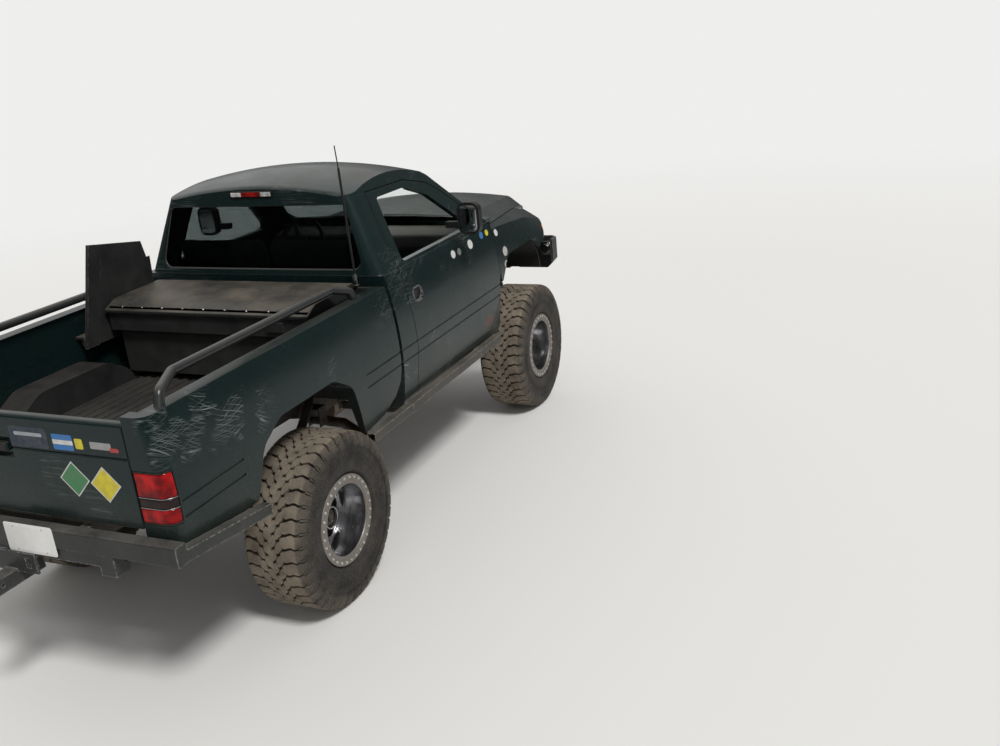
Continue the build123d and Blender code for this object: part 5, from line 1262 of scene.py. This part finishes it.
# Stickers. Plain coloured shapes with nothing on them, on the tailgate and under the right window, laid on
# the panels with a thin pale border.
tinted, tree = blank_material("sticker print")
ink = add(tree, "ShaderNodeAttribute", attribute_name="tint").outputs["Color"]
faded = add(tree, "ShaderNodeTexNoise", {"Vector": object_place(tree), "Scale": 30.0, "Detail": 5.0})
soiled = blend(tree, ramp(tree, faded.outputs[0], 0.4, 0.75, 0.0, 0.35), ink, (0.16, 0.14, 0.115, 1))
surface(tree, {"Base Color": soiled, "Roughness": 0.4, "Specular IOR Level": 0.25})


def stickers(name, shapes, panel, way, body):
    """Flat shapes laid on a panel: outline, colour and lift in metres, cast onto it along a direction."""
    target = bpy.data.objects[panel]
    made = bmesh.new()
    colours = []
    way = Vector(way)
    for outline, colour, lift in shapes:
        rings = []
        middle = sum((Vector(p) for p in outline), Vector()) / len(outline)
        for share in (1.0, 0.5):
            ring = []
            for point in outline:
                start = middle.lerp(Vector(point), share)
                met, spot, _, _ = target.ray_cast(start - way * 0.2, way)
                ring.append(made.verts.new((spot if met else start) - way * lift))
            rings.append(ring)
        for i in range(len(outline)):
            j = (i + 1) % len(outline)
            made.faces.new((rings[0][i], rings[0][j], rings[1][j], rings[1][i]))
        made.faces.new(rings[1])
        colours += [colour] * (len(outline) + 1)
    for face in made.faces:
        if face.normal.dot(way) > 0:
            face.normal_flip()
    made.faces.ensure_lookup_table()
    mesh = settled(name, made)
    tint = mesh.attributes.new("tint", "FLOAT_COLOR", "CORNER")
    for polygon, colour in zip(mesh.polygons, colours):
        for corner in polygon.loop_indices:
            tint.data[corner].color = tuple(colour) + (1,)
    return piece(name, mesh, tinted, body, [], smooth=60)


def on_gate(points):
    """Outline points on the tailgate's plane."""
    return [(-2.425, y, z) for y, z in points]


def diamond(middle, reach):
    """A square stood on its corner."""
    return [(middle[0] + dy * reach, middle[1] + dz * reach) for dy, dz in ((0, 1), (1, 0), (0, -1), (-1, 0))]


WHITE, BLUE, YELLOW, GREEN = (0.6, 0.6, 0.58), (0.03, 0.16, 0.42), (0.62, 0.52, 0.03), (0.05, 0.2, 0.08)
gate_shapes = [(on_gate(rounded(0.23, 0.1, 0.012, (-0.23, 1.41))), (0.02, 0.03, 0.05), 0.0006),
               (on_gate(rounded(0.17, 0.018, 0.005, (-0.23, 1.425))), (0.3, 0.33, 0.36), 0.001),
               (on_gate(rounded(0.12, 0.076, 0.006, (-0.435, 1.402))), BLUE, 0.0006),
               (on_gate(rounded(0.12, 0.022, 0.003, (-0.435, 1.402))), WHITE, 0.001),
               (on_gate(rounded(0.046, 0.05, 0.008, (-0.53, 1.402))), YELLOW, 0.0006),
               (on_gate(rounded(0.12, 0.034, 0.006, (-0.655, 1.402))), (0.3, 0.3, 0.3), 0.0006),
               (on_gate(rounded(0.05, 0.02, 0.006, (-0.73, 1.388))), (0.4, 0.04, 0.04), 0.001)]
for spot, colour in (((-0.454, 1.224), GREEN), ((-0.633, 1.214), YELLOW)):
    gate_shapes += [(on_gate(diamond(spot, 0.088)), WHITE, 0.0006),
                    (on_gate(diamond(spot, 0.08)), colour, 0.001)]
stickers("tailgate_stickers", gate_shapes, "tailgate_panels", (1, 0, 0), "tailgate")
door_shapes, fender_shapes = [], []
door_front = 1.25
for x, z, reach, colour in ((0.59, 1.52, 0.032, WHITE), (0.684, 1.516, 0.028, (0.3, 0.32, 0.33)),
                            (0.871, 1.524, 0.038, WHITE), (1.075, 1.541, 0.03, BLUE),
                            (1.17, 1.54, 0.026, YELLOW), (1.35, 1.5, 0.03, WHITE),
                            (1.416, 1.344, 0.042, (0.42, 0.42, 0.4)),
                            (1.394, 1.249, 0.036, (0.35, 0.35, 0.33))):
    shape = [(x + reach * math.cos(a), -0.95, z + 0.85 * reach * math.sin(a)) for a in turn_angles(24)]
    (door_shapes if x < door_front else fender_shapes).append((shape, colour, 0.0008))
stickers("door_stickers", door_shapes, "door_right_panels", (0, 1, 0), "door_right")
stickers("fender_stickers", fender_shapes, "fenders_panels", (0, 1, 0), "body")
